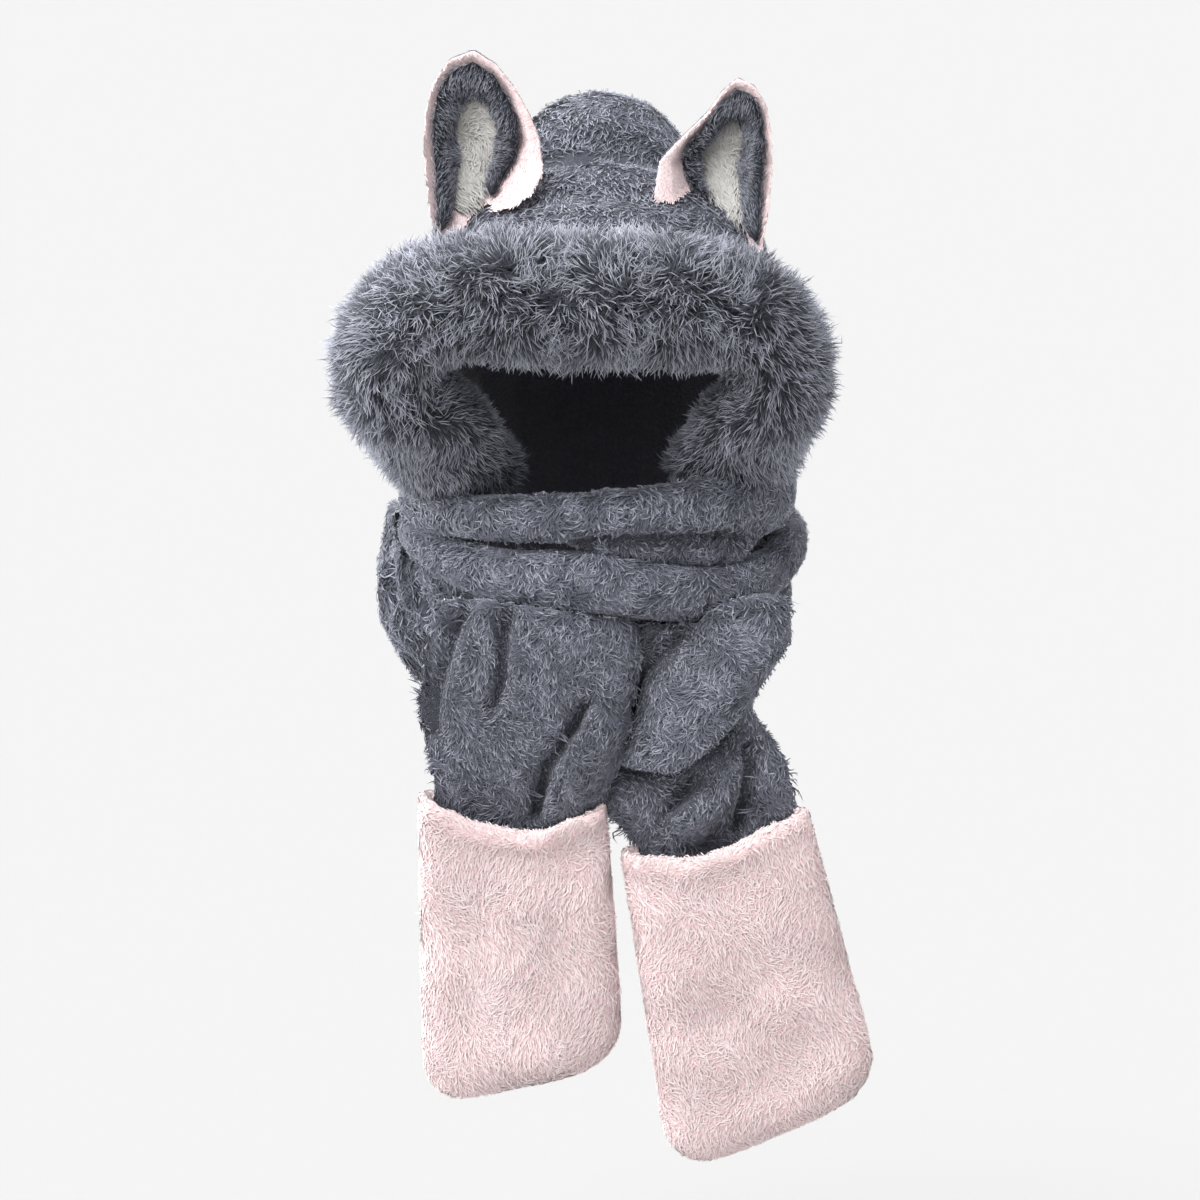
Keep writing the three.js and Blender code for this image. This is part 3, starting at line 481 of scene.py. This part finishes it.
def skin_of(node, row, shape=None):
    """A smooth even copy of a CAD solid, set inwards so that the pile ends at the solid's own surface."""
    form = bpy.data.objects.new(node + "_form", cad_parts[node].data.copy())
    bpy.context.scene.collection.objects.link(form)
    even = form.modifiers.new("even", "REMESH")
    even.mode = "VOXEL"
    even.voxel_size = row["cell"]
    thin = form.modifiers.new("thin", "DECIMATE")
    thin.ratio = row["keep"]
    shown = form.evaluated_get(bpy.context.evaluated_depsgraph_get())
    mesh = shown.to_mesh()
    mesh.calc_loop_triangles()
    points = np.zeros(len(mesh.vertices) * 3, np.float32)
    triangles = np.zeros(len(mesh.loop_triangles) * 3, np.int32)
    mesh.vertices.foreach_get("co", points)
    mesh.loop_triangles.foreach_get("vertices", triangles)
    points = points.reshape(-1, 3).astype(float)
    triangles = triangles.reshape(-1, 3)
    shown.to_mesh_clear()
    bpy.data.objects.remove(form)
    points = relaxed(points, triangles, row["rounds"])
    points -= vertex_normals(points, triangles) * row["inset"]
    if shape is not None:
        points = shape(points, vertex_normals(points, triangles))
    return points, triangles


def beside(places, line):
    """For places seen from the front: the distance to a line, positive on its left hand side, and how far
    along the line its nearest point is from the nearer end."""
    corners = np.array(line)
    steps = np.diff(corners, axis=0)
    lengths = np.linalg.norm(steps, axis=1)
    starts = np.concatenate([[0], np.cumsum(lengths)[:-1]])
    best = np.full(len(places), np.inf)
    signed = np.zeros(len(places))
    along = np.zeros(len(places))
    for corner, step, length, start in zip(corners[:-1], steps, lengths, starts):
        t = np.clip(((places - corner) @ step) / length**2, 0, 1)
        gap = places - corner - t[:, None] * step
        away = np.linalg.norm(gap, axis=1)
        nearer = away < best
        best = np.where(nearer, away, best)
        side = np.sign(step[0] * gap[:, 1] - step[1] * gap[:, 0])
        signed = np.where(nearer, side * away, signed)
        along = np.where(nearer, start + t * length, along)
    return signed, np.minimum(along, lengths.sum() - along)


def folded(points, normals, folds):
    """The front of a skin with its folds: a lip on the left hand side of each line, a groove beside it."""
    places = points[:, [0, 2]]
    height = np.zeros(len(points))
    for fold in folds:
        signed, end = beside(places, fold["line"])
        lip = fold["lip"] * np.exp(-np.abs(signed) / fold["fade"]) * share_in(LIP_ZONE, signed)
        groove = fold["groove"] * bell(signed + GROOVE_SHIFT, FOLD_EDGE)
        height += (lip - groove) * share_in(FOLD_ENDS, end)
    return points + normals * (height * share_in(FOLD_FACING, normals[:, 1]))[:, None]


# Pile


def scatter(points, triangles, normals, weights, count, rng):
    """Places spread evenly over a skin, thinner where the weights are low, with the skin's normal there."""
    a, b, c = (points[triangles[:, i]] for i in range(3))
    area = np.linalg.norm(np.cross(b - a, c - a), axis=1) * weights
    share = np.cumsum(area)
    ladder = (np.arange(count) + rng.random(count)) / count * share[-1]
    pick = np.minimum(np.searchsorted(share, ladder), len(triangles) - 1)
    u, v = rng.random((2, count, 1))
    over = u + v > 1
    u, v = np.where(over, 1 - u, u), np.where(over, 1 - v, v)
    corner = [normals[triangles[pick, i]] for i in range(3)]
    place = a[pick] + u * (b - a)[pick] + v * (c - a)[pick]
    normal = unit(corner[0] * (1 - u - v) + corner[1] * u + corner[2] * v)
    return place, normal


def along_skin(ways, normal):
    """The part of each way that runs along the skin, with its length made 1."""
    return unit(ways - (ways * normal).sum(axis=1, keepdims=True) * normal)


def lowering(tips, normal, skin, rise, most):
    """How far each tip has to move down so that it ends at the given rise above the skin under it."""
    points, normals = skin
    tree = KDTree(len(points))
    for index, point in enumerate(points):
        tree.insert(point, index)
    tree.balance()
    near = np.array([tree.find(tip)[1] for tip in tips])
    height = agreement(tips - points[near], normals[near])
    same_side = share_in(SAME_SIDE, agreement(normals[near], normal))
    return normals[near] * (np.clip(height - rise, -most, most) * same_side)[:, None]


def ribbon_corners(steps, count):
    """The triangles of tapered ribbons: two corners a step, and one at the tip."""
    corners = []
    for j in range(steps - 1):
        corners += [(2 * j, 2 * j + 1, 2 * j + 3), (2 * j, 2 * j + 3, 2 * j + 2)]
    corners.append((2 * steps - 2, 2 * steps - 1, 2 * steps))
    first = np.arange(count)[:, None, None] * (2 * steps + 1)
    return (first + np.array(corners)[None]).reshape(-1, 3)


def strands(place, normal, lay, reach, style, steps, seed, skin):
    """Tapered bent ribbons from the skin outwards, as points, triangles, normals and map places."""
    rng = np.random.default_rng(seed)
    count = len(place)
    swirl = wander(place, style["swirl_size"], seed + 1)
    ahead = lay + style["swirl"] * swirl + rng.normal(size=(count, 3)) * style["loose"]
    ahead = along_skin(ahead, normal)
    bend = along_skin(rng.normal(size=(count, 3)), normal) * style["bend"]
    start = unit(normal * style["stand"] + ahead)
    end = unit(normal * style["tip_stand"] + ahead + bend)
    uneven = 1 + style["uneven"] * rng.uniform(-1, 1, count)
    length = (style["length"] * reach * uneven)[:, None]
    down = np.zeros_like(place)
    if style["rise"] is not None:
        tips = place + length * (start + end) / 2
        down = lowering(tips, normal, skin, style["rise"], MOST_LOWERED * style["length"])
    middle = unit(start + end)
    any_way = unit(rng.normal(size=(count, 3)))
    across = any_way - (any_way * middle).sum(axis=1, keepdims=True) * middle
    side = unit(np.cross(middle, normal) + SIDE_TURN * across)
    facing = np.cross(side, middle)
    facing *= np.where(agreement(facing, normal) < 0, -1, 1)[:, None]
    base_normal = SKIN_SHADING * normal + (1 - SKIN_SHADING) * facing
    half = style["width"] / 2 * rng.uniform(*WIDTH_SPREAD, (count, 1))
    wave = style["wave"] * length * rng.normal(size=(count, 1))
    wave_start = rng.uniform(0, 2 * math.pi, (count, 1))
    patch = wander(place, style["patch_size"], seed + 2, 1)[:, 0]
    tint = TINT_MIDDLE + TINT_PATCHES * patch + style["mixed"] * rng.normal(size=count)
    # painted shade: short strands, in grooves, corners and feet, are darkened
    tint = np.clip(tint + PAINTED_SHADE_WHERE_SHORT * (1 - reach), *TINT_LIMITS)
    points, normals, maps = [], [], []
    for j in range(steps + 1):
        t = j / steps
        spine = place + length * (start * t + (end - start) * (t * t / 2)) - down * (t * t)
        spine = spine + side * wave * (np.sin(wave_start + WAVE_TURN * t) - np.sin(wave_start))
        at_tip = j == steps
        wide = 0 if at_tip else half * (1 - TAPER * t)
        up = MAP_EDGE + t * style["shade_to"] * (1 - 2 * MAP_EDGE)
        for sign in (0,) if at_tip else (-1, 1):
            points.append(spine + side * wide * sign)
            normals.append(unit(base_normal + style["round"] * sign * side))
            map_x = MAP_EDGE / 2 + (tint + TINT_EDGE * sign) * STRAND_SHARE
            maps.append(np.stack([map_x, np.full(count, up)], axis=1))
    points, normals, maps = (
        np.stack(rows, axis=1).reshape(count * len(rows), -1) for rows in (points, normals, maps)
    )
    triangles = ribbon_corners(steps, count)
    a, b, c = (points[triangles[:, i]] for i in range(3))
    inward = agreement(np.cross(b - a, c - a), normals[triangles[:, 0]]) < 0
    triangles[inward] = triangles[inward][:, [0, 2, 1]]
    return points, triangles, normals, maps


def grow(skin, weights, style, count, steps, seed, lay, reach):
    """A pile on a skin. weights, lay and reach are worked out from places and normals."""
    points, triangles = skin
    normals = vertex_normals(points, triangles)
    centres = points[triangles].mean(axis=1)
    facing = unit(normals[triangles].mean(axis=1))
    rng = np.random.default_rng(seed)
    place, normal = scatter(points, triangles, normals, weights(centres, facing), count, rng)
    long = reach(place, normal)
    return strands(place, normal, lay(place, normal), long, style, steps, seed, (points, normals))


def full_reach(place, normal):
    """Strands of full length everywhere."""
    return np.ones(len(place))


def fold_reach(folds):
    """Fur is short in the grooves, so that they stay open, and is darkened there as painted shade."""

    def reach(place, normal):
        short = np.ones(len(place))
        for fold in folds:
            signed, _ = beside(place[:, [0, 2]], fold["line"])
            short = np.minimum(short, 1 - GROOVE_FUR_SHORTER * bell(signed, GROOVE_FUR_WIDTH))
        return short

    return reach


def drawn(x, y, z):
    """The same lay all over a skin, whose size is how strong it is."""
    return lambda place, normal: np.tile(np.array([x, y, z]), (len(place), 1))


def hanging(strength):
    """A lay that hangs down."""
    return drawn(0, 0, -strength)


def towards(middle, strength):
    """A lay that runs to a middle from all sides."""
    return lambda place, normal: strength * unit(middle - place)


# Materials


def new_material(name):
    """A material with its nodes, links and shader."""
    material = bpy.data.materials.new(name)
    material.use_nodes = True
    nodes = material.node_tree.nodes
    return material, nodes, material.node_tree.links, nodes["Principled BSDF"]


def set_inputs(node, values):
    """Sets a node's own values by the names of its inputs."""
    for name, value in values.items():
        node.inputs[name].default_value = value


@functools.cache
def strand_material(look):
    """Strands are dark at the root and light at the tip, partly their own tone and partly painted shade
    deep in the pile and painted highlights on the tips, each with a tone of its own.
    """
    colours = LOOKS[look]
    material, nodes, links, shader = new_material(look + "_strand")
    set_inputs(shader, STRAND_SHADER)
    set_inputs(shader, {"Sheen Weight": colours["sheen"], "Sheen Tint": colours["sheen_tint"]})
    place = nodes.new("ShaderNodeUVMap")
    place.uv_map = UV_NAME
    apart = nodes.new("ShaderNodeSeparateXYZ")
    links.new(place.outputs["UV"], apart.inputs["Vector"])
    # root to tip: the fur's own tone with painted shade at the root and painted highlight at the tip
    ramp = nodes.new("ShaderNodeValToRGB")
    first, last = ramp.color_ramp.elements
    first.position, last.position = RAMP_PLACES[0], RAMP_PLACES[2]
    first.color = (*colours["root"], 1)
    last.color = (*colours["tip"], 1)
    half = ramp.color_ramp.elements.new(RAMP_PLACES[1])
    half.color = (*colours["middle"], 1)
    links.new(apart.outputs["Y"], ramp.inputs["Fac"])
    shade = nodes.new("ShaderNodeMapRange")
    set_inputs(shade, {"From Min": 0.0, "From Max": STRAND_SHARE})
    set_inputs(shade, {"To Min": colours["dull"], "To Max": colours["bright"]})
    links.new(apart.outputs["X"], shade.inputs["Value"])
    product = nodes.new("ShaderNodeVectorMath")
    product.operation = "SCALE"
    links.new(ramp.outputs["Color"], product.inputs[0])
    links.new(shade.outputs["Result"], product.inputs["Scale"])
    links.new(product.outputs["Vector"], shader.inputs["Base Color"])
    lasting = nodes.new("ShaderNodeAttribute")
    lasting.attribute_name = NORMAL_NAME
    links.new(lasting.outputs["Vector"], shader.inputs["Normal"])
    return material


@functools.cache
def skin_material(look):
    """The short dense underfur between the strands; its dark colour in the greys is partly painted shade
    deep in the pile.
    """
    colours = LOOKS[look]
    material, nodes, links, shader = new_material(look + "_skin")
    set_inputs(shader, SKIN_SHADER)
    set_inputs(shader, {"Sheen Weight": colours["sheen"]})
    place = nodes.new("ShaderNodeTexCoord")
    grain = nodes.new("ShaderNodeTexNoise")
    set_inputs(grain, GRAIN)
    links.new(place.outputs["Object"], grain.inputs["Vector"])
    shade = nodes.new("ShaderNodeMapRange")
    set_inputs(shade, GRAIN_SHADE)
    links.new(grain.outputs["Fac"], shade.inputs["Value"])
    product = nodes.new("ShaderNodeVectorMath")
    product.operation = "SCALE"
    product.inputs[0].default_value = colours["skin"]
    links.new(shade.outputs["Result"], product.inputs["Scale"])
    links.new(product.outputs["Vector"], shader.inputs["Base Color"])
    relief = nodes.new("ShaderNodeBump")
    set_inputs(relief, GRAIN_RELIEF)
    links.new(grain.outputs["Fac"], relief.inputs["Height"])
    links.new(relief.outputs["Normal"], shader.inputs["Normal"])
    return material


# From skins and piles to pieces


def skin_map(points, triangles, normals):
    """Map places for a skin's corners: a cell for each of the six ways that its faces look."""
    low, high = points.min(axis=0), points.max(axis=0)
    shares = (points - low) / np.maximum(high - low, TINY)
    facing = normals[triangles].mean(axis=1)
    axis = np.abs(facing).argmax(axis=1)
    way = axis * 2 + (facing[np.arange(len(axis)), axis] > 0)
    flat = np.array([(1, 2), (0, 2), (0, 1)])[axis]
    corner_shares = shares[triangles]
    places = np.take_along_axis(corner_shares, flat[:, None, :].repeat(3, axis=1), axis=2)
    cell = np.array([1 - SKIN_START - MAP_EDGE, 1.0]) / np.array(CELL_COUNTS)
    column, row = way % CELL_COUNTS[0], way // CELL_COUNTS[0]
    origin = np.stack([SKIN_START + MAP_EDGE / 2 + column * cell[0], row * cell[1]], axis=1)
    inside = CELL_MARGIN + places * (1 - 2 * CELL_MARGIN)
    return (origin[:, None, :] + inside * cell).reshape(-1, 2)


def plush(node, look, skin, piles):
    """One piece from its skin and its piles of strands, in place of its CAD node."""
    points, triangles = skin
    normals = vertex_normals(points, triangles)
    all_points, all_triangles, all_normals = [points], [triangles], [normals]
    maps = [skin_map(points, triangles, normals)]
    kinds = [np.zeros(len(triangles), np.int32)]
    ahead = len(points)
    for pile_points, pile_triangles, pile_normals, pile_map in piles:
        all_points.append(pile_points)
        all_triangles.append(pile_triangles + ahead)
        all_normals.append(pile_normals)
        maps.append(pile_map[pile_triangles].reshape(-1, 2))
        kinds.append(np.ones(len(pile_triangles), np.int32))
        ahead += len(pile_points)
    places = np.concatenate(all_points).astype(np.float32)
    corners = np.concatenate(all_triangles).astype(np.int32)
    ways = np.concatenate(all_normals).astype(np.float32)
    mesh = bpy.data.meshes.new(node + "_plush")
    mesh.vertices.add(len(places))
    mesh.vertices.foreach_set("co", places.ravel())
    mesh.loops.add(corners.size)
    mesh.loops.foreach_set("vertex_index", corners.ravel())
    mesh.polygons.add(len(corners))
    mesh.polygons.foreach_set("loop_start", np.arange(0, corners.size, 3, dtype=np.int32))
    mesh.polygons.foreach_set("material_index", np.concatenate(kinds))
    mesh.update(calc_edges=True)
    uv = mesh.uv_layers.new(name=UV_NAME)
    uv.uv.foreach_set("vector", np.concatenate(maps).astype(np.float32).ravel())
    lasting = mesh.attributes.new(NORMAL_NAME, "FLOAT_VECTOR", "POINT")
    lasting.data.foreach_set("vector", ways.ravel())
    mesh.materials.append(skin_material(look))
    mesh.materials.append(strand_material(look))
    mesh.shade_smooth()
    mesh.normals_split_custom_set_from_vertices(ways)
    piece = bpy.data.objects.new(node + "_plush", mesh)
    bpy.context.scene.collection.objects.link(piece)
    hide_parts(node)
    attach(piece, "root")


def cover(node, row, skin, seed, weights, lay, reach=full_reach):
    """The piece of a node: its skin with the piles of its kind, each with a seed of its own."""
    piles = []
    for k, (style, count, steps) in enumerate(row["piles"]):
        piles.append(grow(skin, weights, style, count, steps, seed + k, lay, reach))
    plush(node, row["look"], skin, piles)


# Hood


def away_from_hood(places):
    """The ways out of the hood: from its middle, and level ones below that."""
    core = np.tile(HOOD_CORE, (len(places), 1))
    core[:, 2] = np.minimum(core[:, 2], places[:, 2])
    return unit(places - core)


def hood_weights(centres, facing):
    """Fur is on the outside of the hood, thinner under the scarf and behind."""
    outside = share_in(HOOD_OUTSIDE, agreement(away_from_hood(centres), facing))
    above_scarf = at_least(UNDER_SCARF_LEAST, share_in(HOOD_ABOVE_SCARF, centres[:, 2]))
    behind = share_in(HOOD_BEHIND, facing[:, 1])
    return HOOD_FUR_LEAST + outside * above_scarf * (1 - HOOD_BEHIND_FEWER * behind)


def hood_shape(points, normals):
    """Deepens the cross creases of the crown and lifts the bump behind them."""
    outside = share_in(CROWN_OUTSIDE, agreement(away_from_hood(points), normals))
    on_top = share_in(CROWN_TOP, points[:, 2]) * outside
    dip = np.zeros(len(points))
    for place, depth in CREASES:
        curve = place + CREASE_CURVE * points[:, 0] ** 2
        dip += depth * bell(points[:, 1] - curve, CREASE_WIDTH)
    bump = share_in(BUMP_BACK, points[:, 1]) * share_in(BUMP_TOP, points[:, 2]) * outside
    moved = points.copy()
    moved[:, 2] -= dip * on_top
    moved[:, 2] += BUMP_RISE * bump
    return moved


def build_hood():
    row = KINDS["hood"]
    skin = skin_of("hood_shell", row, hood_shape)
    cover("hood_shell", row, skin, HOOD_SEED, hood_weights, drawn(*HOOD_LAY))


# Trim


def trim_weights(centres, facing):
    """The trim's fur is thinner behind."""
    return at_least(TRIM_FUR_LEAST, share_in(TRIM_FACING, facing[:, 1]))


def near_corner(points, x, z):
    """1 at a corner of the opening as the front shows it, and less away from it."""
    return bell(np.hypot(points[:, 0] - x, points[:, 2] - z), CORNER_WIDTH)


def trim_shape(points, normals):
    """Opens the corners under the brow and tucks the feet in behind the wound turn."""
    moved = points.copy()
    for x, z, side in TRIM_CORNERS:
        near = near_corner(points, x, z)
        moved[:, 0] += side * CORNER_OUT * near
        moved[:, 2] += CORNER_UP * near
    low = np.maximum(0, TUCK_START_Z - moved[:, 2])
    foot = np.maximum(0, FOOT_START_Z - moved[:, 2])
    inner = share_in(FOOT_INNER, np.abs(moved[:, 0]))
    moved[:, 0] -= np.sign(moved[:, 0]) * FOOT_OUT * foot * inner
    moved[:, 2] -= FOOT_DOWN * foot
    moved[:, 1] += TUCK_BACK * low
    return moved


def trim_reach(place, normal):
    """Fur is shorter in the corners of the opening and at the feet, and is darkened there as painted shade.
    """
    reach = np.ones(len(place))
    for x, z, _ in TRIM_CORNERS:
        reach -= CORNER_FUR_SHORTER * near_corner(place, x, z)
    return reach * (1 - FOOT_FUR_SHORTER * share_in(FOOT_FUR, place[:, 2]))


def build_trim():
    row = KINDS["trim"]
    skin = skin_of("hood_trim", row, trim_shape)
    cover("hood_trim", row, skin, TRIM_SEED, trim_weights, drawn(*TRIM_LAY), trim_reach)


# Turns


def turn_weights(centres, facing):
    """Fur is full where a face looks away from the neck, and thinner where it looks at it."""
    away = centres - NECK_MIDDLE
    away[:, 2] = 0
    return at_least(TURN_FUR_LEAST, share_in(TURN_OUTSIDE, agreement(unit(away), facing)))


def upper_band_shape(points, normals):
    """Lets an inner layer down at the front right, between the two turns."""
    window = share_in(LAYER_LEFT, points[:, 0]) * share_in(LAYER_RIGHT, points[:, 0])
    low = share_in(LAYER_LOW, points[:, 2]) * share_in(LAYER_FRONT, points[:, 1])
    moved = points.copy()
    moved[:, 2] -= LAYER_DOWN * window * low
    moved[:, 1] += LAYER_BACK * window * low
    return folded(moved, normals, UPPER_BAND_FOLDS)


def build_bands():
    row = KINDS["band"]
    bands = (
        ("scarf_band_upper", UPPER_BAND_SEED, upper_band_shape, UPPER_BAND_FOLDS),
        ("scarf_band_lower", LOWER_BAND_SEED, None, []),
    )
    for node, seed, shape, folds in bands:
        skin = skin_of(node, row, shape)
        cover(node, row, skin, seed, turn_weights, hanging(BAND_LAY), fold_reach(folds))


def at_front_left(points):
    """1 at the front left of the wide turn, and 0 behind and at the right."""
    return share_in(FRONT_LEFT, points[:, 1]) * (points[:, 0] < 0)


def back_shape(points, normals):
    """Pleats the back of the wide turn, folds its front left and sets that in behind the left end."""
    depth = np.where(points[:, 1] < 0, TURN_FRONT, TURN_BACK)
    angle = np.arctan2(points[:, 0] / TURN_HALF_WIDTH, -points[:, 1] / depth)
    out = unit(points * np.array([1, 1, 0]))
    outside = share_in(PLEAT_OUTSIDE, agreement(out, normals))
    shift = wander(points * np.array([0, 0, 1]), PLEAT_WANDER_SIZE, PLEAT_SEED, 1)[:, 0]
    pleat = np.cos(PLEAT_COUNT * angle + PLEAT_WANDER * shift)
    at_back = share_in(PLEAT_BACK, points[:, 1])
    moved = points + out * (PLEAT_DEPTH * pleat * outside * at_back)[:, None]
    moved = folded(moved, normals, TURN_FOLDS)
    behind_end = share_in(BEHIND_END_FRONT, points[:, 1]) * (points[:, 0] < 0)
    behind_end *= share_in(BEHIND_END_LOW, points[:, 2])
    inwards = BEHIND_END_IN + BEHIND_END_IN_LOW * share_in(BEHIND_END_LOWEST, points[:, 2])
    moved[:, 0] += inwards * behind_end
    below = np.maximum(0, FRONT_LEFT_FOOT_Z - points[:, 2])
    moved[:, 2] += FRONT_LEFT_LIFT * below * at_front_left(points)
    return moved


def back_weights(centres, facing):
    """The wide turn has fur at its front left too, where its faces look every way."""
    return np.maximum(turn_weights(centres, facing), FRONT_LEFT_FUR_LEAST * at_front_left(centres))


def build_back():
    row = KINDS["back"]
    skin = skin_of("scarf_back", row, back_shape)
    cover("scarf_back", row, skin, TURN_SEED, back_weights, hanging(TURN_LAY))


# Hanging ends


def end_weights(centres, facing):
    """The ends' fur is thinner behind."""
    return at_least(END_FUR_LEAST, share_in(END_FACING, facing[:, 1]))


def left_end_shape(points, normals):
    """Folds the left end and lets its outer edge stand out a little over its pocket."""
    moved = folded(points, normals, LEFT_END_FOLDS)
    edge = share_in(OUTER_EDGE_X, points[:, 0]) * share_in(OUTER_EDGE_Z, points[:, 2])
    moved[:, 0] -= OUTER_EDGE_WIDER * edge
    return moved


def right_end_shape(points, normals):
    """Folds the right end and carries its left edge on behind the left end."""
    moved = folded(points, normals, RIGHT_END_FOLDS)
    edge = share_in(HIDDEN_EDGE_X, points[:, 0])
    edge *= share_in(HIDDEN_EDGE_LOW, points[:, 2]) * share_in(HIDDEN_EDGE_HIGH, points[:, 2])
    moved[:, 0] -= HIDDEN_EDGE_WIDER * edge
    moved[:, 1] += HIDDEN_EDGE_BACK * edge
    return moved


def build_ends():
    row = KINDS["end"]
    ends = (
        ("scarf_end_left", LEFT_END_SEED, left_end_shape, LEFT_END_FOLDS),
        ("scarf_end_right", RIGHT_END_SEED, right_end_shape, RIGHT_END_FOLDS),
    )
    for node, seed, shape, folds in ends:
        skin = skin_of(node, row, shape)
        cover(node, row, skin, seed, end_weights, hanging(END_LAY), fold_reach(folds))


# Pockets


def rim_of(points):
    """The height of a pocket's rim at a place across it."""
    edges = np.linspace(points[:, 0].min(), points[:, 0].max(), RIM_COLUMNS + 1)
    column = np.clip(np.digitize(points[:, 0], edges) - 1, 0, RIM_COLUMNS - 1)
    tops = np.full(RIM_COLUMNS, float(BELOW_ALL))
    np.maximum.at(tops, column, points[:, 2])
    middles = (edges[:-1] + edges[1:]) / 2
    return lambda x: np.interp(x, middles, tops)


def build_pocket(node, seed, lifts):
    """One pocket, whose fur turns over its rim."""

    def shape(points, normals):
        """Dents the two faces, rolls the hem and lifts the rim."""
        flat = points * np.array([1, 0, 1])
        dents = sum(part * wander(flat, size, seed + k, 1)[:, 0] for k, (size, part) in enumerate(DENTS))
        out = np.clip((points[:, 1] - POCKET_MIDDLE_Y) / POCKET_HALF_DEPTH, -1, 1)
        under_rim = rim_of(points)(points[:, 0]) - points[:, 2]
        moved = points.copy()
        moved[:, 1] += DENT_DEPTH * dents * out
        moved[:, 1] += HEM_ROLL * out * bell(under_rim - HEM_HEIGHT, HEM_HEIGHT)
        for place, width, lift in lifts:
            moved[:, 2] += lift * bell(points[:, 0] - place, width) * share_in(LIFT_FADE, under_rim)
        return moved

    row = KINDS["pocket"]
    skin = skin_of(node, row, shape)
    rim = rim_of(skin[0])
    middle_x = skin[0][:, 0].mean()
    foot_top = skin[0][:, 2].min() + POCKET_FOOT_HEIGHT

    def above_rim(places):
        return places[:, 2] - rim(places[:, 0])

    def weights(centres, facing):
        """Fur is on the outside of the pocket and on its rim."""
        away = np.zeros_like(centres)
        away[:, 0] = (centres[:, 0] - middle_x) * POCKET_SIDES
        away[:, 1] = centres[:, 1] - POCKET_MIDDLE_Y
        away[:, 2] = np.minimum(0, centres[:, 2] - foot_top) * POCKET_FOOT
        outside = share_in(POCKET_OUTSIDE, agreement(unit(away), facing))
        at_rim = share_in(RIM_FUR, above_rim(centres))
        return at_least(POCKET_FUR_LEAST, np.maximum(outside, at_rim))

    def lay(place, normal):
        """The fur hangs down, and stands up over the rim."""
        near_rim = share_in(RIM_LAY_ZONE, above_rim(place))[:, None]
        return hanging(POCKET_LAY)(place, normal) * (1 - near_rim) + RIM_LAY * near_rim

    def reach(place, normal):
        """Fur is shorter behind and at the rim, and is darkened there as painted shade."""
        behind = POCKET_BEHIND_SHORTER * share_in(POCKET_BEHIND, normal[:, 1])
        near_rim = RIM_SHORTER * share_in(RIM_SHORT_ZONE, above_rim(place))
        return (1 - behind) * (1 - near_rim)

    cover(node, row, skin, seed, weights, lay, reach)


def build_pockets():
    for pocket in POCKETS:
        build_pocket(pocket["node"], pocket["seed"], pocket["lifts"])


# Ears


def lobe_shape(points, normals):
    """Carries an ear's folded lobe forwards and down over the crown."""
    across = np.abs(points[:, 0])
    inner = share_in(LOBE_INNER, across)
    corner = share_in(LOBE_CORNER, across)
    low = share_in(LOBE_LOW, points[:, 2])
    lift = np.where(points[:, 0] < 0, LEFT_LOBE_LIFT, RIGHT_LOBE_LIFT)
    moved = points.copy()
    moved[:, 1] -= LOBE_FORWARD * inner * low
    moved[:, 2] += (lift * corner - LOBE_DOWN * inner) * low
    return moved


def build_ear_layer(side, layer, seed):
    """One layer of an ear, with fur on the face that shows."""
    row = {**EAR_SKIN, **EAR_LAYERS[layer]}
    node = f"ear_{side}_{layer}"
    shape = lobe_shape if layer in ("back", "lining") else None
    skin = skin_of(node, row, shape)
    middle = (skin[0].min(axis=0) + skin[0].max(axis=0)) / 2
    lay = towards(middle, RING_LAY) if layer == "ring" else hanging(EAR_LAY)

    def weights(centres, facing):
        return EAR_FUR_LEAST + share_in(EAR_FACING, row["way"] * facing[:, 1])

    cover(node, row, skin, seed, weights, lay)


def build_ears():
    seed = EAR_SEED
    for side in ("left", "right"):
        for layer in EAR_LAYERS:
            build_ear_layer(side, layer, seed)
            seed += EAR_SEED_STEP


# Stage


def build_stage():
    bpy.ops.mesh.primitive_plane_add(size=FLOOR_SIZE, location=(0, 0, FLOOR_Z))
    floor = bpy.context.object
    floor.name = "floor"
    material, _, _, shader = new_material("pale_floor")
    set_inputs(shader, {"Base Color": (FLOOR_GREY, FLOOR_GREY, FLOOR_GREY, 1)})
    set_inputs(shader, FLOOR_SHADER)
    floor.data.materials.append(material)
    world = bpy.data.worlds.new("studio")
    bpy.context.scene.world = world
    world.use_nodes = True
    set_inputs(world.node_tree.nodes["Background"], {"Color": (1, 1, 1, 1), "Strength": WORLD_STRENGTH})
    for row in SUNS:
        lamp = bpy.data.lights.new(row["name"], "SUN")
        lamp.energy = row["strength"]
        lamp.angle = math.radians(row["soft"])
        sun = bpy.data.objects.new(row["name"], lamp)
        sun.rotation_euler = (math.radians(row["tilt"]), 0, math.radians(row["turn"]))
        bpy.context.scene.collection.objects.link(sun)


def build_camera():
    camera = bpy.data.objects.new("camera", bpy.data.cameras.new("camera"))
    camera.location = CAMERA_PLACE
    camera.rotation_euler = (CAMERA_PITCH, 0, 0)
    camera.data.lens = CAMERA_LENS
    camera.data.sensor_width = CAMERA_SENSOR
    camera.data.clip_end = CAMERA_REACH
    bpy.context.scene.collection.objects.link(camera)
    bpy.context.scene.camera = camera
    bpy.context.scene.view_settings.view_transform = "Standard"


build_camera()
build_stage()
build_hood()
build_trim()
build_bands()
build_back()
build_ends()
build_pockets()
build_ears()
